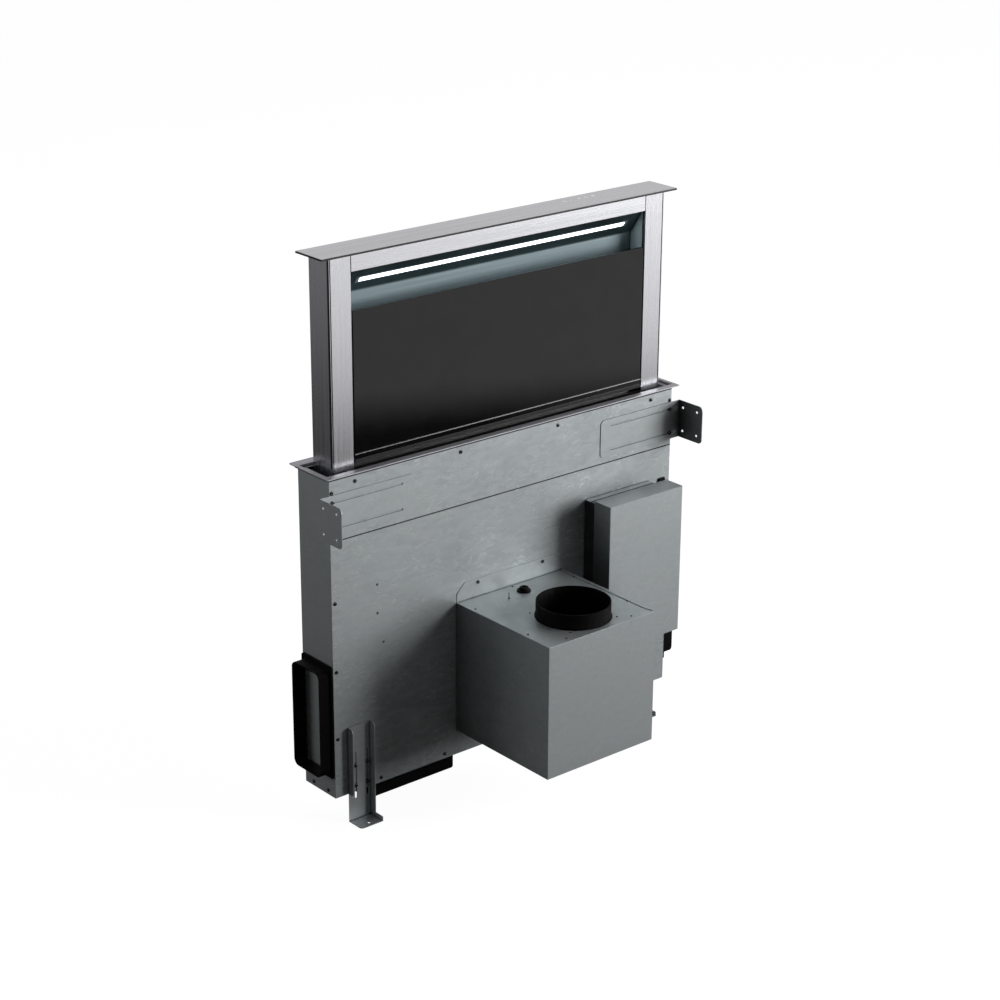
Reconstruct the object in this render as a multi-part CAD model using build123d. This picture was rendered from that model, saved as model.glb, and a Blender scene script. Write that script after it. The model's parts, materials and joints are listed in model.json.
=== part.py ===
from build123d import *
import math
import os

os.makedirs("parts", exist_ok=True)

# Telescopic downdraft vent for a kitchen worktop, in millimetres.
# Origin: centre of the worktop flange, on the plane where the flange rests on the worktop.
# +X runs along the worktop, -Y is the front (glass and blower side), +Z is up.
# The riser is modelled fully raised.

# ---------------------------------------------------------------- driving sizes
SHEET = 1.2                 # galvanised casing sheet
THIN_GAP = 0.3              # running gap between pieces that slide past each other
SEAT_GAP = 0.2              # gap between sheets that don't touch

FLANGE_W = 900.0
FLANGE_D = 122.0
FLANGE_LIP = 2.0            # thickness of the rim that rests on the worktop
REBATE_GAP = 2.0            # gap around the sunk top plate
REBATE_DEEP = 3.0           # how far the ledge under the top plate lies below the worktop
LEDGE_W = 11.0              # width of the ledge that carries the lowered top plate
LEDGE_SIDE = 6.0            # its width along the long sides
FLANGE_WALL = 1.5
SEAL_T = 1.5
SEAL_SEAT = 0.4             # shallow seat for the seal in the rim's underside

PLATE_INSET = (10.0, 21.0)  # top plate inside the flange's outline, along X and Y
PLATE_T = 4.0
PLATE_Y = -3.5              # centre of the top plate, slightly to the front of the flange's
PLATE_TOP = 415.0

CASE_INSET = (12.0, 11.5)   # casing inside the flange's outline, along X and Y
CASE_H = 664.0              # casing bottom below the worktop
SEAM_Z = -128.0             # joint of the upper and lower front panels
SEAM_GAP = 0.6
RETURN_W = 14.0             # folded returns of the side sheets

RISER_INSET = (24.5, 9.0)   # riser inside the top plate's outline, along X and Y
RISER_Y = -0.5              # centre of the riser's depth
RISER_TAIL = 180.0          # riser below the worktop when raised
RISER_SHEET = 1.2
STILE_W = 48.6
JOINT_GROOVE = 2.0          # groove between side sheet and stile
HEADER_H = 34.0
HEADER_GAP = 1.6            # dark gap between header and stile
HEADER_FOLD = 6.0           # lower fold of the header
RECESS_Y = 10.0             # back of the intake recess
CANOPY_LOW = 327.0          # lower rear edge of the sloping canopy
CANOPY_BEND = 6.0
RECESS_LOW = 288.0          # top of the filters
STILE_TUCK = 9.0            # depth of the stile's folded edge behind the groove
FRAME_T = 10.0              # riser bottom frame
FRAME_RIM = 14.0            # its rim at the ends
FRAME_LIP = 8.0             # its rim along the front and back

GLASS_T = 4.0
GLASS_LOW = 11.0
GLASS_HIGH = 303.3
GLASS_GAP = 2.9             # gap between glass and stile
CARRIER_D = 7.5             # aluminium profile behind the glass foot
CARRIER_H = 17.0
TRIM_H = 3.0
TRIM_PROUD = 1.0            # bright trim in front of the glass
PIVOT_Z = 16.0              # glass door pivot
PIVOT_INSET = 7.5           # pivot behind the glass face
PIVOT_R = 3.0
PIVOT_CLEAR = 0.05
PIVOT_DEEP = 10.0           # pin length inside the glass carrier

FILTER_COUNT = 3
FILTER_T = 9.0
FILTER_Y = -9.0             # front face of the filters
FILTER_GAP = 1.0
FILTER_RIM = 12.0
SLATS = 8
SLAT_T = 1.0
PULL_W = 60.0               # pull bar of a filter
PULL_OUT = 6.0
TOUCH_W = 101.0             # touch sensor housing under the plate
TOUCH_INSET = 163.0         # its right end from the plate's right end
TOUCH_D = 35.0
TOUCH_H = 8.0

LED_INSET = 29.9            # end of the lamp from the stile
LED_W = 16.0
LED_Y = -7.0                # lamp's middle on the canopy
LED_CHANNEL_H = 7.0

BLOWER_W = 276.0
BLOWER_X = 2.5
BLOWER_RISE = 332.0         # top of the box above the casing's bottom
BLOWER_H = 279.0
BLOWER_D = 278.5            # box depth in front of the casing
PLATE_RISE = 38.0           # mounting plate above and below the box
PLATE_DROP = 23.0
PLATE_CUT = 20.0
GLAND_DX = 4.1              # cable gland in the lid, from the box's middle
GLAND_OUT = 38.5            # and in front of the casing
GLAND_R = 10.0
GLAND_BORE_R = 4.5
SPIGOT_DX = 0.5             # from the box's middle
SPIGOT_OUT = 190.5          # in front of the casing
SPIGOT_R = 74.0
SPIGOT_WALL = 2.0
SPIGOT_H = 31.0
SPIGOT_DIP = 44.0           # length of the spigot below the box top
SPIGOT_PCD = 170.0
SPIGOT_SEAT = 171.0         # square flange of the spigot under the lid
SEAT_T = 2.5
SHOULDER = 2.0              # raised ring of the seat, flush with the lid
PIN_R = 2.0                 # flap pin
PIN_RISE = 7.0              # flap pin above the spigot's lower edge
PIN_CLEAR = 0.08
FLAP_T = 1.4
FLAP_GAP = 1.5              # between flap and bore, for the seam
KNUCKLE_R = 4.0
KNUCKLE_L = 62.0
SEAM_ANGLE = 68.0           # rolled seam inside the spigot
SEAM_PROUD = 0.9

WHEEL_R = 75.0
WHEEL_IN = 60.0
WHEEL_W = 118.0
BLADES = 20
BLADE_T = 1.2
WHEEL_RING = 5.0
WHEEL_DISC = 2.0
HUB_R = 11.0
HUB_L = 16.0
MOTOR_R = 42.0
MOTOR_L = 58.0
MOTOR_SHAFT_R = 4.0
WHEEL_SHIFT = 36.0          # wheel to the left of the spigot
WHEEL_DROP = 158.0          # wheel below the box's top
SCROLL_W = 140.0
SCROLL_WALL = 2.5
TONGUE_R = 82.0             # spiral wall at its tongue
TONGUE_ANGLE = 75.0
TONGUE_LEAN = 26.0          # rise of the wall from the tongue to the outlet's left side
INLET_R = 60.0
CASE_INLET_R = 95.0

CONTROL_W = 201.0
CONTROL_IN = 47.0           # its right side from the casing's right side
CONTROL_DROP = 184.0        # its top below the worktop
CONTROL_OVER_FOOT = 15.0    # its bottom above the feet
CONTROL_COVER = 48.0
CONTROL_BASE = 41.5
CONTROL_INSET = 12.0
CABLE_R = 12.0              # cable passage into the casing
CABLE_DROP = 40.0
BOARD_W = 141.0
BOARD_DROP = 20.0           # board below the cable passage
BOARD_RISE = 29.8           # board above the transformer
BOARD_T = 1.6
STANDOFF = 10.0
STANDOFF_W = 8.0
RELAY_IN = 14.0             # first relay from the board's left edge
RELAY_PITCH = 26.0
RELAY_W = 19.0
RELAY_H = 28.0
RELAY_D = 16.0
RELAY_DROP = 16.0           # relays below the board's top
TERMINAL_RISE = 10.0
TERMINAL_H = 12.0
CAPACITOR_R = 8.0
CAPACITOR_L = 22.0
CAPACITOR_AT = (24.0, 30.0)  # from the board's right and top edges
CORE_IN = 60.0              # transformer core from the box's left side
CORE_W = 60.0
CORE_D = 34.0
CORE_H = 46.0
COIL_PROUD = 8.0            # coil beyond the core's ends
COIL_Y = 5.0                # coil inside the core's depth and height
COIL_Z = 9.0

DUCT_L = 222.0              # flat duct 222 x 89
DUCT_S = 89.0
DUCT_R = 14.0
DUCT_WALL = 2.0
DUCT_LEN = 30.0
DUCT_RISE = 161.0           # centre of the side collars above the casing's bottom
DUCT_BOTTOM_IN = 193.0      # centre of the bottom collar from the casing's left side
COLLAR_FLANGE = 8.0
COLLAR_T = 4.0
BOTTOM_FLANGE_T = 3.0

FOOT_W = 53.4
FOOT_DEEP = 17.0
FOOT_T = 1.5
FOOT_RISE = 144.0           # top of the feet above the casing's bottom
FOOT_DROP = 61.0            # their plates below it
FOOT_PLATE_D = 40.0
FOOT_IN = (57.9, 81.6)      # centres of the feet from the casing's left and right sides
FOOT_SLOT_RISE = (-14.0, 86.0)  # slot ends from the casing's bottom
FOOT_SLOT_W = 5.0
FOOT_SLOT_X = (-9.9, 18.1)  # slot lines from the foot's centre
FOOT_SCREW_RISE = (14.0, 57.0)
FOOT_HOLE_R = 3.0

ARM_T = 1.5
ARM_H = 80.5
ARM_Z = -75.25
ARM_PROUD = 23.5            # outer face of the bracket plate from the casing's side
ARM_L = 221.5
ARM_SLOT_W = 4.6
ARM_SLOT_IN = (194.5, 24.5)  # slot ends from the bracket plate's outer face
ARM_SCREW_IN = 5.0          # clamp screws from the casing's side
ARM_SCREW_DZ = 26.0
BRACKET_PLATE = 68.0
BRACKET_HOLE_R = 2.75
BRACKET_PITCH_Y = 41.0
BRACKET_PITCH_Z = 51.0
BRACKET_R = 10.0
BRACKET_HOLES_Y = 31.5      # hole pattern in front of the arm

MODULE = 2.0                # rack and pinion
TEETH = 18
BACKLASH = 0.35
RACK_W = 12.0
RACK_IN = 24.5              # middle of the racks from the riser's side
RACK_RISE = 30.0            # lower end of the racks above the casing's bottom
TEETH_OVER = 3              # rack teeth above the pinion when the riser is raised
SHAFT_R = 5.0
SHAFT_Y = 19.0
SHAFT_DROP = 22.0           # shaft below the riser's bottom frame
BORE_CLEAR = 0.05
RAIL_IN = 85.5              # middle of the guide rails from the riser's side
RAIL_W = 40.0
RAIL_SLOT = 18.0
RAIL_WALL = 2.0
RAIL_CLEAR = 1.6            # between the rail and the riser's back
RUNNER_LEN = 45.0
MOTOR_X = (-30.0, 118.0)    # reach of the gear motor along the shaft
MOTOR_CASE = 54.0           # gear case length along the shaft
MOTOR_AHEAD = 33.0          # gear case in front of the shaft
MOTOR_DROP = 20.0           # gear case below the shaft
MOTOR_ROUND = 4.0
MOTOR_CAN_R = 17.0
MOTOR_CAN_Y = 20.0          # motor can in front of the shaft
MOTOR_CAN_Z = 2.0           # motor can below the shaft
MOTOR_GAP = 4.0             # between the motor and the air windows beside it
RUNNER_Z = (-152.0, -48.0)  # centres of the runner blocks
BEARING_IN = 50.5           # middle of the bearings from the riser's side
BEARING_W = 16.0
BEARING_R = 10.0            # half height of a bearing block around the shaft

SCREW_R = 3.6
SCREW_HEAD = 2.4
SHANK_R = 1.9
SHANK_L = 3.0
HEAD_SIDE_COUNT = 6         # round pan heads, kept plain here
SHANK_SIDE_COUNT = 4
TOP_SCREW_DROP = 18.5       # upper row on the front panel, below the worktop
TOP_SCREW_IN = 59.5         # its outer screws from the casing's sides
TOP_SCREW_X = 124.5         # its inner screws from the middle
SHOULDER_SCREW_IN = 5.0     # one screw at each shoulder
SHOULDER_SCREW_DROP = 30.5
SIDE_SCREW_IN = 8.0         # three screws down each side of the lower panel
SIDE_SCREW_END = 126.0
BOTTOM_SCREW_X = (-327.0, -166.6, 166.6, 300.0)
BOTTOM_SCREW_RISE = 10.5
LID_SCREW_X = 84.5          # plate and lid screws from the box's middle
LID_EDGE = 9.0
LID_SCREW_BACK = 48.0       # side screws of the lid from its back and front edges
LID_SCREW_FRONT = 72.5

# ---------------------------------------------------------------- worked-out places
PLATE_W = FLANGE_W - 2 * PLATE_INSET[0]
PLATE_D = FLANGE_D - 2 * PLATE_INSET[1]
CASE_W = FLANGE_W - 2 * CASE_INSET[0]
CASE_D = FLANGE_D - 2 * CASE_INSET[1]
RISER_W = PLATE_W - 2 * RISER_INSET[0]
RISER_D = PLATE_D - 2 * RISER_INSET[1]
CX = CASE_W / 2
CY = CASE_D / 2
CASE_TOP = -REBATE_DEEP - FLANGE_WALL
RX = RISER_W / 2
RY0 = RISER_Y - RISER_D / 2
RY1 = RISER_Y + RISER_D / 2
RISER_TOP = PLATE_TOP - PLATE_T
STILE_IN = RX - STILE_W
FRONT = -CY
BACK_IN = CY - SHEET
LED_LEN = 2 * (STILE_IN - LED_INSET)
TOUCH_X1 = PLATE_W / 2 - TOUCH_INSET
SLOPE_Y = RY0 + HEADER_FOLD
SLOPE_Z = RISER_TOP - HEADER_H + RISER_SHEET
FILTER_BACK = FILTER_Y + FILTER_T + FILTER_GAP

BLOWER_TOP = -CASE_H + BLOWER_RISE
BLOWER_LOW = BLOWER_TOP - BLOWER_H
BLOWER_X0 = BLOWER_X - BLOWER_W / 2
BLOWER_X1 = BLOWER_X + BLOWER_W / 2
BLOWER_Y = FRONT - BLOWER_D
GLAND_X = BLOWER_X + GLAND_DX
GLAND_Y = FRONT - GLAND_OUT
SPIGOT_X = BLOWER_X + SPIGOT_DX
SPIGOT_Y = FRONT - SPIGOT_OUT
SCROLL_TOP = BLOWER_TOP - SPIGOT_DIP
PIN_Z = SCROLL_TOP + PIN_RISE
WHEEL_X = SPIGOT_X - WHEEL_SHIFT
WHEEL_Z = BLOWER_TOP - WHEEL_DROP
DISC_Y = SPIGOT_Y - SCROLL_W / 2 + SCROLL_WALL + MOTOR_L + 16

FOOT_X = (-CX + FOOT_IN[0], CX - FOOT_IN[1])
FOOT_TOP = -CASE_H + FOOT_RISE
FOOT_LOW = -CASE_H - FOOT_DROP
FOOT_SLOT = tuple(-CASE_H + rise for rise in FOOT_SLOT_RISE)
FOOT_SCREW_Z = tuple(-CASE_H + rise for rise in FOOT_SCREW_RISE)

CONTROL_X = (CX - CONTROL_IN - CONTROL_W, CX - CONTROL_IN)
CONTROL_Z = (FOOT_TOP + CONTROL_OVER_FOOT, -CONTROL_DROP)
CABLE_X = sum(CONTROL_X) / 2
CABLE_Z = CONTROL_Z[1] - CABLE_DROP
DUCT_Z = -CASE_H + DUCT_RISE
DUCT_BOTTOM_X = -CX + DUCT_BOTTOM_IN

ARM_OUT = CX + ARM_PROUD
ARM_IN = ARM_OUT - ARM_L
ARM_SLOT = tuple(ARM_OUT - inset for inset in ARM_SLOT_IN)
ARM_SCREW_X = CX - ARM_SCREW_IN

PITCH_R = MODULE * TEETH / 2
SHAFT_Z = -RISER_TAIL - SHAFT_DROP
RACK_PITCH_Y = SHAFT_Y + PITCH_R
RACK_X = RX - RACK_IN
RACK_FROM = -CASE_H + RACK_RISE
RAIL_X = RX - RAIL_IN
BEARING_X = RX - BEARING_IN


def box(x0, x1, y0, y1, z0, z1):
    """Block between two opposite corners."""
    size = (x1 - x0, y1 - y0, z1 - z0)
    return Pos((x0 + x1) / 2, (y0 + y1) / 2, (z0 + z1) / 2) * Box(*size)


TURN = {"x": Rot(0, 90, 0), "y": Rot(90, 0, 0), "z": Rot(0, 0, 0)}


def rod(axis, centre, radius, length):
    """Cylinder centred on a point, along X, Y or Z."""
    return Pos(*centre) * TURN[axis] * Cylinder(radius, length)


def prism(axis, centre, radius, length, sides):
    """Regular prism centred on a point, along X, Y or Z."""
    face = RegularPolygon(radius, sides)
    return Pos(*centre) * TURN[axis] * extrude(face, length / 2, both=True)


def slab(axis, centre, size, thick, radius, inner=None):
    """Plate with rounded corners, normal to an axis; size is (first, second) in axis order.

    With inner given, (first, second, radius) of a window is cut through it.
    """
    face = RectangleRounded(size[0], size[1], radius)
    if inner:
        face -= RectangleRounded(inner[0], inner[1], inner[2])
    planes = {"z": Plane.XY, "y": Plane.XZ, "x": Plane.YZ}
    solid = extrude(planes[axis] * face, thick / 2, both=True)
    return Pos(*centre) * solid


def save(name, shape):
    """One STEP file per piece."""
    export_step(shape, f"parts/{name}.step")


def mirrored_x(shape):
    """The same piece on the other side."""
    return mirror(shape, about=Plane.YZ)


def group(solids):
    """Several separate solids in one file."""
    return Compound(children=[s for s in solids])


def screw(axis, point, grip):
    """Pan head with its seat at the point; the shank runs grip deep, against the axis sign."""
    sign = -1 if axis.startswith("-") else 1
    unit = {"x": (1, 0, 0), "y": (0, 1, 0), "z": (0, 0, 1)}[axis[-1]]
    head_at = tuple(p + sign * u * SCREW_HEAD / 2 for p, u in zip(point, unit))
    shank_at = tuple(p - sign * u * grip / 2 for p, u in zip(point, unit))
    head = prism(axis[-1], head_at, SCREW_R, SCREW_HEAD, HEAD_SIDE_COUNT)
    return head + prism(axis[-1], shank_at, SHANK_R, grip, SHANK_SIDE_COUNT)


# ---------------------------------------------------------------- worktop flange
def worktop_flange():
    """Stepped rim: lip on the worktop, wall and ledge that take the sunk top plate."""
    half_w = PLATE_W / 2 + REBATE_GAP
    y0 = PLATE_Y - PLATE_D / 2 - REBATE_GAP
    y1 = PLATE_Y + PLATE_D / 2 + REBATE_GAP
    w = FLANGE_WALL
    lip = slab("z", (0, 0, FLANGE_LIP / 2), (FLANGE_W, FLANGE_D), FLANGE_LIP, 2.5)
    wall = box(-half_w - w, half_w + w, y0 - w, y1 + w, -REBATE_DEEP - w, FLANGE_LIP / 2)
    well = box(-half_w, half_w, y0, y1, -REBATE_DEEP, FLANGE_LIP + 1)
    window = box(-half_w + LEDGE_W, half_w - LEDGE_W, y0 + LEDGE_SIDE, y1 - LEDGE_SIDE,
                 -REBATE_DEEP - w - 1, 0)
    seal_seat = box(-half_w - w - SEAL_T, half_w + w + SEAL_T, -CY, CY, 0, SEAL_SEAT)
    return lip - seal_seat + wall - well - window


def flange_seal():
    """Black foam ring under the rim, around the rebate wall."""
    half_w = PLATE_W / 2 + REBATE_GAP + FLANGE_WALL
    half_d = PLATE_D / 2 + REBATE_GAP + FLANGE_WALL
    low = -REBATE_DEEP - FLANGE_WALL
    ring = box(-half_w - SEAL_T, half_w + SEAL_T, -CY, CY, low, SEAL_SEAT)
    return ring - box(-half_w, half_w, PLATE_Y - half_d, PLATE_Y + half_d, low - 1, 1)


# ---------------------------------------------------------------- casing sheets
def casing_front_upper():
    """Upper front strip with its two rounded shoulders."""
    sheet = box(-CX, CX, FRONT, FRONT + SHEET, SEAM_Z, CASE_TOP)
    corners = sheet.edges().filter_by(Axis.Y).group_by(Axis.Z)[-1]
    return fillet(corners, 6.0)


def casing_front_lower():
    """Lower front panel with the blower inlet and the cable passage."""
    sheet = box(-CX, CX, FRONT, FRONT + SHEET, -CASE_H, SEAM_Z - SEAM_GAP)
    inlet = rod("y", (WHEEL_X, FRONT, WHEEL_Z), CASE_INLET_R, 10)
    cable = rod("y", (CABLE_X, FRONT, CABLE_Z), CABLE_R, 10)
    return sheet - inlet - cable


def casing_back():
    """Plain back panel."""
    return box(-CX, CX, BACK_IN, CY, -CASE_H, CASE_TOP)


def casing_side():
    """Left side sheet with folded returns and the flat-duct opening."""
    y_in = CY - SHEET
    sheet = box(-CX, -CX + SHEET, -y_in, y_in, -CASE_H, CASE_TOP)
    for y in (-y_in, y_in - SHEET):
        sheet += box(-CX, -CX + RETURN_W, y, y + SHEET, -CASE_H + SHEET, CASE_TOP)
    duct = slab("x", (-CX, 0, DUCT_Z), (DUCT_S - 2 * DUCT_WALL, DUCT_L - 2 * DUCT_WALL),
                10, DUCT_R - DUCT_WALL)
    return sheet - duct


def casing_bottom():
    """Bottom sheet with the opening for the bottom duct collar."""
    y_in = CY - SHEET
    sheet = box(-CX + SHEET, CX - SHEET, -y_in, y_in, -CASE_H, -CASE_H + SHEET)
    duct = slab("z", (DUCT_BOTTOM_X, 0, -CASE_H), (DUCT_L, DUCT_S), 10, DUCT_R)
    return sheet - duct


# ---------------------------------------------------------------- flat-duct collars
def side_collar():
    """Left collar: flange on the side sheet and a short tube of flat duct."""
    flange = slab("x", (-CX - COLLAR_T / 2, 0, DUCT_Z),
                  (DUCT_S + COLLAR_FLANGE, DUCT_L + 2 * COLLAR_FLANGE), COLLAR_T, 6)
    tube = slab("x", (-CX - DUCT_LEN / 2, 0, DUCT_Z), (DUCT_S, DUCT_L), DUCT_LEN, DUCT_R)
    bore = slab("x", (-CX - DUCT_LEN / 2, 0, DUCT_Z),
                (DUCT_S - 2 * DUCT_WALL, DUCT_L - 2 * DUCT_WALL), DUCT_LEN + 2,
                DUCT_R - DUCT_WALL)
    return flange + tube - bore


def bottom_collar():
    """Bottom collar, its flange inside the casing."""
    low = -CASE_H - DUCT_LEN
    top = -CASE_H + SHEET
    middle = (DUCT_BOTTOM_X, 0, (low + top) / 2)
    tube = slab("z", middle, (DUCT_L, DUCT_S), top - low, DUCT_R)
    bore = slab("z", middle, (DUCT_L - 2 * DUCT_WALL, DUCT_S - 2 * DUCT_WALL), top - low + 20,
                DUCT_R - DUCT_WALL)
    flange = box(DUCT_BOTTOM_X - DUCT_L / 2 - 3, DUCT_BOTTOM_X + DUCT_L / 2 + 3,
                 -DUCT_S / 2 - 2.5, DUCT_S / 2 + 2.5, top, top + BOTTOM_FLANGE_T)
    return tube + flange - bore


def blanking_plates():
    """Three sheet covers that close the unused duct openings from inside."""
    half_long = DUCT_L / 2 + 6
    half_short = BACK_IN - 1.5
    x0 = -CX + SHEET
    side = box(x0, x0 + SHEET, -half_short, half_short, DUCT_Z - half_long, DUCT_Z + half_long)
    low_z = -CASE_H + SHEET + BOTTOM_FLANGE_T
    low = box(DUCT_BOTTOM_X - half_long, DUCT_BOTTOM_X + half_long, -half_short, half_short,
              low_z, low_z + SHEET)
    return group([side, mirrored_x(side), low])


# ---------------------------------------------------------------- guides and racks
def rail_block(x0, x1, y0, y1, z0, z1):
    """Block in the left rail's own frame: x from its middle, y from its front face."""
    front = RY1 + RAIL_CLEAR
    return box(-RAIL_X + x0, -RAIL_X + x1, front + y0, front + y1, z0, z1)


def guide_rail():
    """Left C-rail on the back panel, open to the front."""
    depth = BACK_IN - RY1 - RAIL_CLEAR
    half = RAIL_W / 2
    top = CASE_TOP - 2
    rail = rail_block(-half, half, 0, depth, RACK_FROM, top)
    rail -= rail_block(-half + RAIL_WALL, half - RAIL_WALL, RAIL_WALL, depth - RAIL_WALL,
                       RACK_FROM - 1, top + 1)
    return rail - rail_block(-RAIL_SLOT / 2, RAIL_SLOT / 2, -1, 2 * RAIL_WALL,
                             RACK_FROM - 1, top + 1)


def runner_blocks():
    """Two plastic blocks on the riser's back; their heads slide inside the left rail."""
    depth = BACK_IN - RY1 - RAIL_CLEAR
    half = RAIL_W / 2 - RAIL_WALL - THIN_GAP
    neck_half = RAIL_SLOT / 2 - THIN_GAP
    blocks = []
    for z in RUNNER_Z:
        z0, z1 = z - RUNNER_LEN / 2, z + RUNNER_LEN / 2
        head = rail_block(-half, half, RAIL_WALL + THIN_GAP, depth - RAIL_WALL - THIN_GAP,
                          z0, z1)
        neck = rail_block(-neck_half, neck_half, -RAIL_CLEAR, RAIL_WALL + THIN_GAP, z0, z1)
        blocks.append(head + neck)
    return blocks


def rack():
    """Toothed rack on the back panel, teeth to the front; its pitch line is at RACK_PITCH_Y."""
    pitch = math.pi * MODULE
    slope = math.tan(math.radians(20))
    tip = RACK_PITCH_Y - MODULE
    root = RACK_PITCH_Y + 1.25 * MODULE
    half_tip = pitch / 4 - MODULE * slope - BACKLASH / 2
    half_root = pitch / 4 + 1.25 * MODULE * slope - BACKLASH / 2
    back = BACK_IN
    below = round((SHAFT_Z - RACK_FROM) / pitch)
    first = SHAFT_Z - below * pitch
    teeth = below + TEETH_OVER
    points = [(back, first - pitch / 2)]
    points.append((root, first - pitch / 2))
    for i in range(teeth):
        z = first + i * pitch
        points += [(root, z - half_root), (tip, z - half_tip), (tip, z + half_tip),
                   (root, z + half_root)]
    top = first + (teeth - 0.5) * pitch
    points += [(root, top), (back, top)]
    face = make_face(Polyline(*points, close=True))
    return Pos(RACK_X - RACK_W / 2, 0, 0) * extrude(Plane.YZ * face, RACK_W)


def pinion_profile():
    """Spur gear outline, a gap facing the rack (+Y) at rest."""
    pitch_angle = 2 * math.pi / TEETH
    base_r = PITCH_R * math.cos(math.radians(20))
    tip_r = PITCH_R + MODULE
    root_r = PITCH_R - 1.25 * MODULE

    def involute(radius):
        ratio = max(radius / base_r, 1.0)
        return math.sqrt(ratio * ratio - 1) - math.acos(1 / ratio)

    half_pitch = pitch_angle / 4 - BACKLASH / 2 / PITCH_R
    points = []
    radii = (root_r, (base_r + PITCH_R) / 2, tip_r)
    for i in range(TEETH):
        middle = (i + 0.5) * pitch_angle
        for side in (-1, 1):
            rs = radii if side < 0 else tuple(reversed(radii))
            for r in rs:
                half = half_pitch + involute(PITCH_R) - involute(r)
                angle = middle + side * half
                points.append((r * math.cos(angle), r * math.sin(angle)))
    return make_face(Polyline(*points, close=True))


def pinions():
    """Two pinions on the lift shaft."""
    gears = []
    for x in (-RACK_X, RACK_X):
        wheel = extrude(Plane.YZ * pinion_profile(), RACK_W + 1)
        wheel = Pos(x - (RACK_W + 1) / 2, SHAFT_Y, SHAFT_Z) * wheel
        gears.append(wheel - rod("x", (x, SHAFT_Y, SHAFT_Z), SHAFT_R, 3 * RACK_W))
    return group(gears)


def lift_shaft():
    """Steel cross shaft that keeps both sides of the riser level."""
    return rod("x", (0, SHAFT_Y, SHAFT_Z), SHAFT_R, 2 * (RACK_X + RACK_W))


def shaft_bearings():
    """Bearing blocks that hang under the riser's bottom frame."""
    blocks = []
    for x in (-BEARING_X, BEARING_X):
        block = box(x - BEARING_W / 2, x + BEARING_W / 2, SHAFT_Y - BEARING_R,
                    SHAFT_Y + BEARING_R, SHAFT_Z - BEARING_R, -RISER_TAIL)
        block = block - rod("x", (x, SHAFT_Y, SHAFT_Z), SHAFT_R + BORE_CLEAR, 2 * BEARING_W)
        blocks.append(block)
    return group(blocks)


def lift_motor():
    """Gear motor hung under the bottom frame; its case is clamped around the shaft."""
    x0, x1 = MOTOR_X[0], MOTOR_X[0] + MOTOR_CASE
    case = box(x0, x1, SHAFT_Y - MOTOR_AHEAD, RY1 - 2, SHAFT_Z - MOTOR_DROP, -RISER_TAIL)
    case = fillet(case.edges().filter_by(Axis.X).group_by(Axis.Z)[0], MOTOR_ROUND)
    can_at = ((x1 + MOTOR_X[1]) / 2, SHAFT_Y - MOTOR_CAN_Y, SHAFT_Z - MOTOR_CAN_Z)
    can = rod("x", can_at, MOTOR_CAN_R, MOTOR_X[1] - x1)
    reach = MOTOR_X[1] - MOTOR_X[0]
    bore = rod("x", (sum(MOTOR_X) / 2, SHAFT_Y, SHAFT_Z), SHAFT_R + BORE_CLEAR, 2 * reach)
    return case + can - bore


# ---------------------------------------------------------------- riser
def riser_bottom_frame():
    """Open frame at the riser's lower end; the air leaves through its two windows."""
    x_in = STILE_IN - RISER_SHEET - SEAT_GAP
    x_out = RX - RISER_SHEET
    y0 = RY0 + 3 * RISER_SHEET
    y1 = RY1 - RISER_SHEET
    z0, z1 = -RISER_TAIL, -RISER_TAIL + FRAME_T
    frame = box(-x_in, x_in, y0, y1, z0, z1)
    frame += box(-x_out, x_out, RECESS_Y + SEAT_GAP, y1, z0, z1)
    rim = FRAME_RIM
    for x0, x1 in ((-x_in + rim, MOTOR_X[0] - MOTOR_GAP), (MOTOR_X[1] + MOTOR_GAP, x_in - rim)):
        frame -= box(x0, x1, y0 + FRAME_LIP, y1 - FRAME_LIP, z0 - 1, z1 + 1)
    return frame


def stile():
    """Left stile: brushed front face and the return that forms the recess cheek."""
    t = RISER_SHEET
    outer = -RX + t + JOINT_GROOVE
    tuck_y = RY0 + STILE_TUCK
    face = box(outer, -STILE_IN, RY0, RY0 + t, -RISER_TAIL, RISER_TOP)
    cheek = box(-STILE_IN - t, -STILE_IN, RY0, RECESS_Y, -RISER_TAIL, RISER_TOP)
    tuck = box(outer, outer + t, RY0, tuck_y, -RISER_TAIL, RISER_TOP)
    lip = box(-RX + t, outer + t, tuck_y - t, tuck_y, -RISER_TAIL, RISER_TOP)
    pivot = rod("x", (-STILE_IN, RY0 + PIVOT_INSET, PIVOT_Z), PIVOT_R, 10)
    return face + cheek + tuck + lip - pivot


def riser_side():
    """Left side sheet."""
    return box(-RX, -RX + RISER_SHEET, RY0, RY1, -RISER_TAIL, RISER_TOP)


def riser_back():
    """Back sheet of the riser with a top flange under the plate."""
    x0 = RX - RISER_SHEET
    sheet = box(-x0, x0, RY1 - RISER_SHEET, RY1, -RISER_TAIL, RISER_TOP)
    flange = box(-x0, x0, RY1 - 5, RY1, RISER_TOP - RISER_SHEET, RISER_TOP)
    return sheet + flange


def header_rail():
    """Front rail above the intake, folded back at the top and bottom."""
    x0 = STILE_IN - HEADER_GAP
    t = RISER_SHEET
    low = RISER_TOP - HEADER_H
    face = box(-x0, x0, RY0, RY0 + t, low, RISER_TOP)
    top = box(-x0, x0, RY0, RY0 + 3 * HEADER_FOLD, RISER_TOP - t, RISER_TOP)
    bottom = box(-x0, x0, RY0, SLOPE_Y, low, low + t)
    return face + top + bottom


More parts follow.
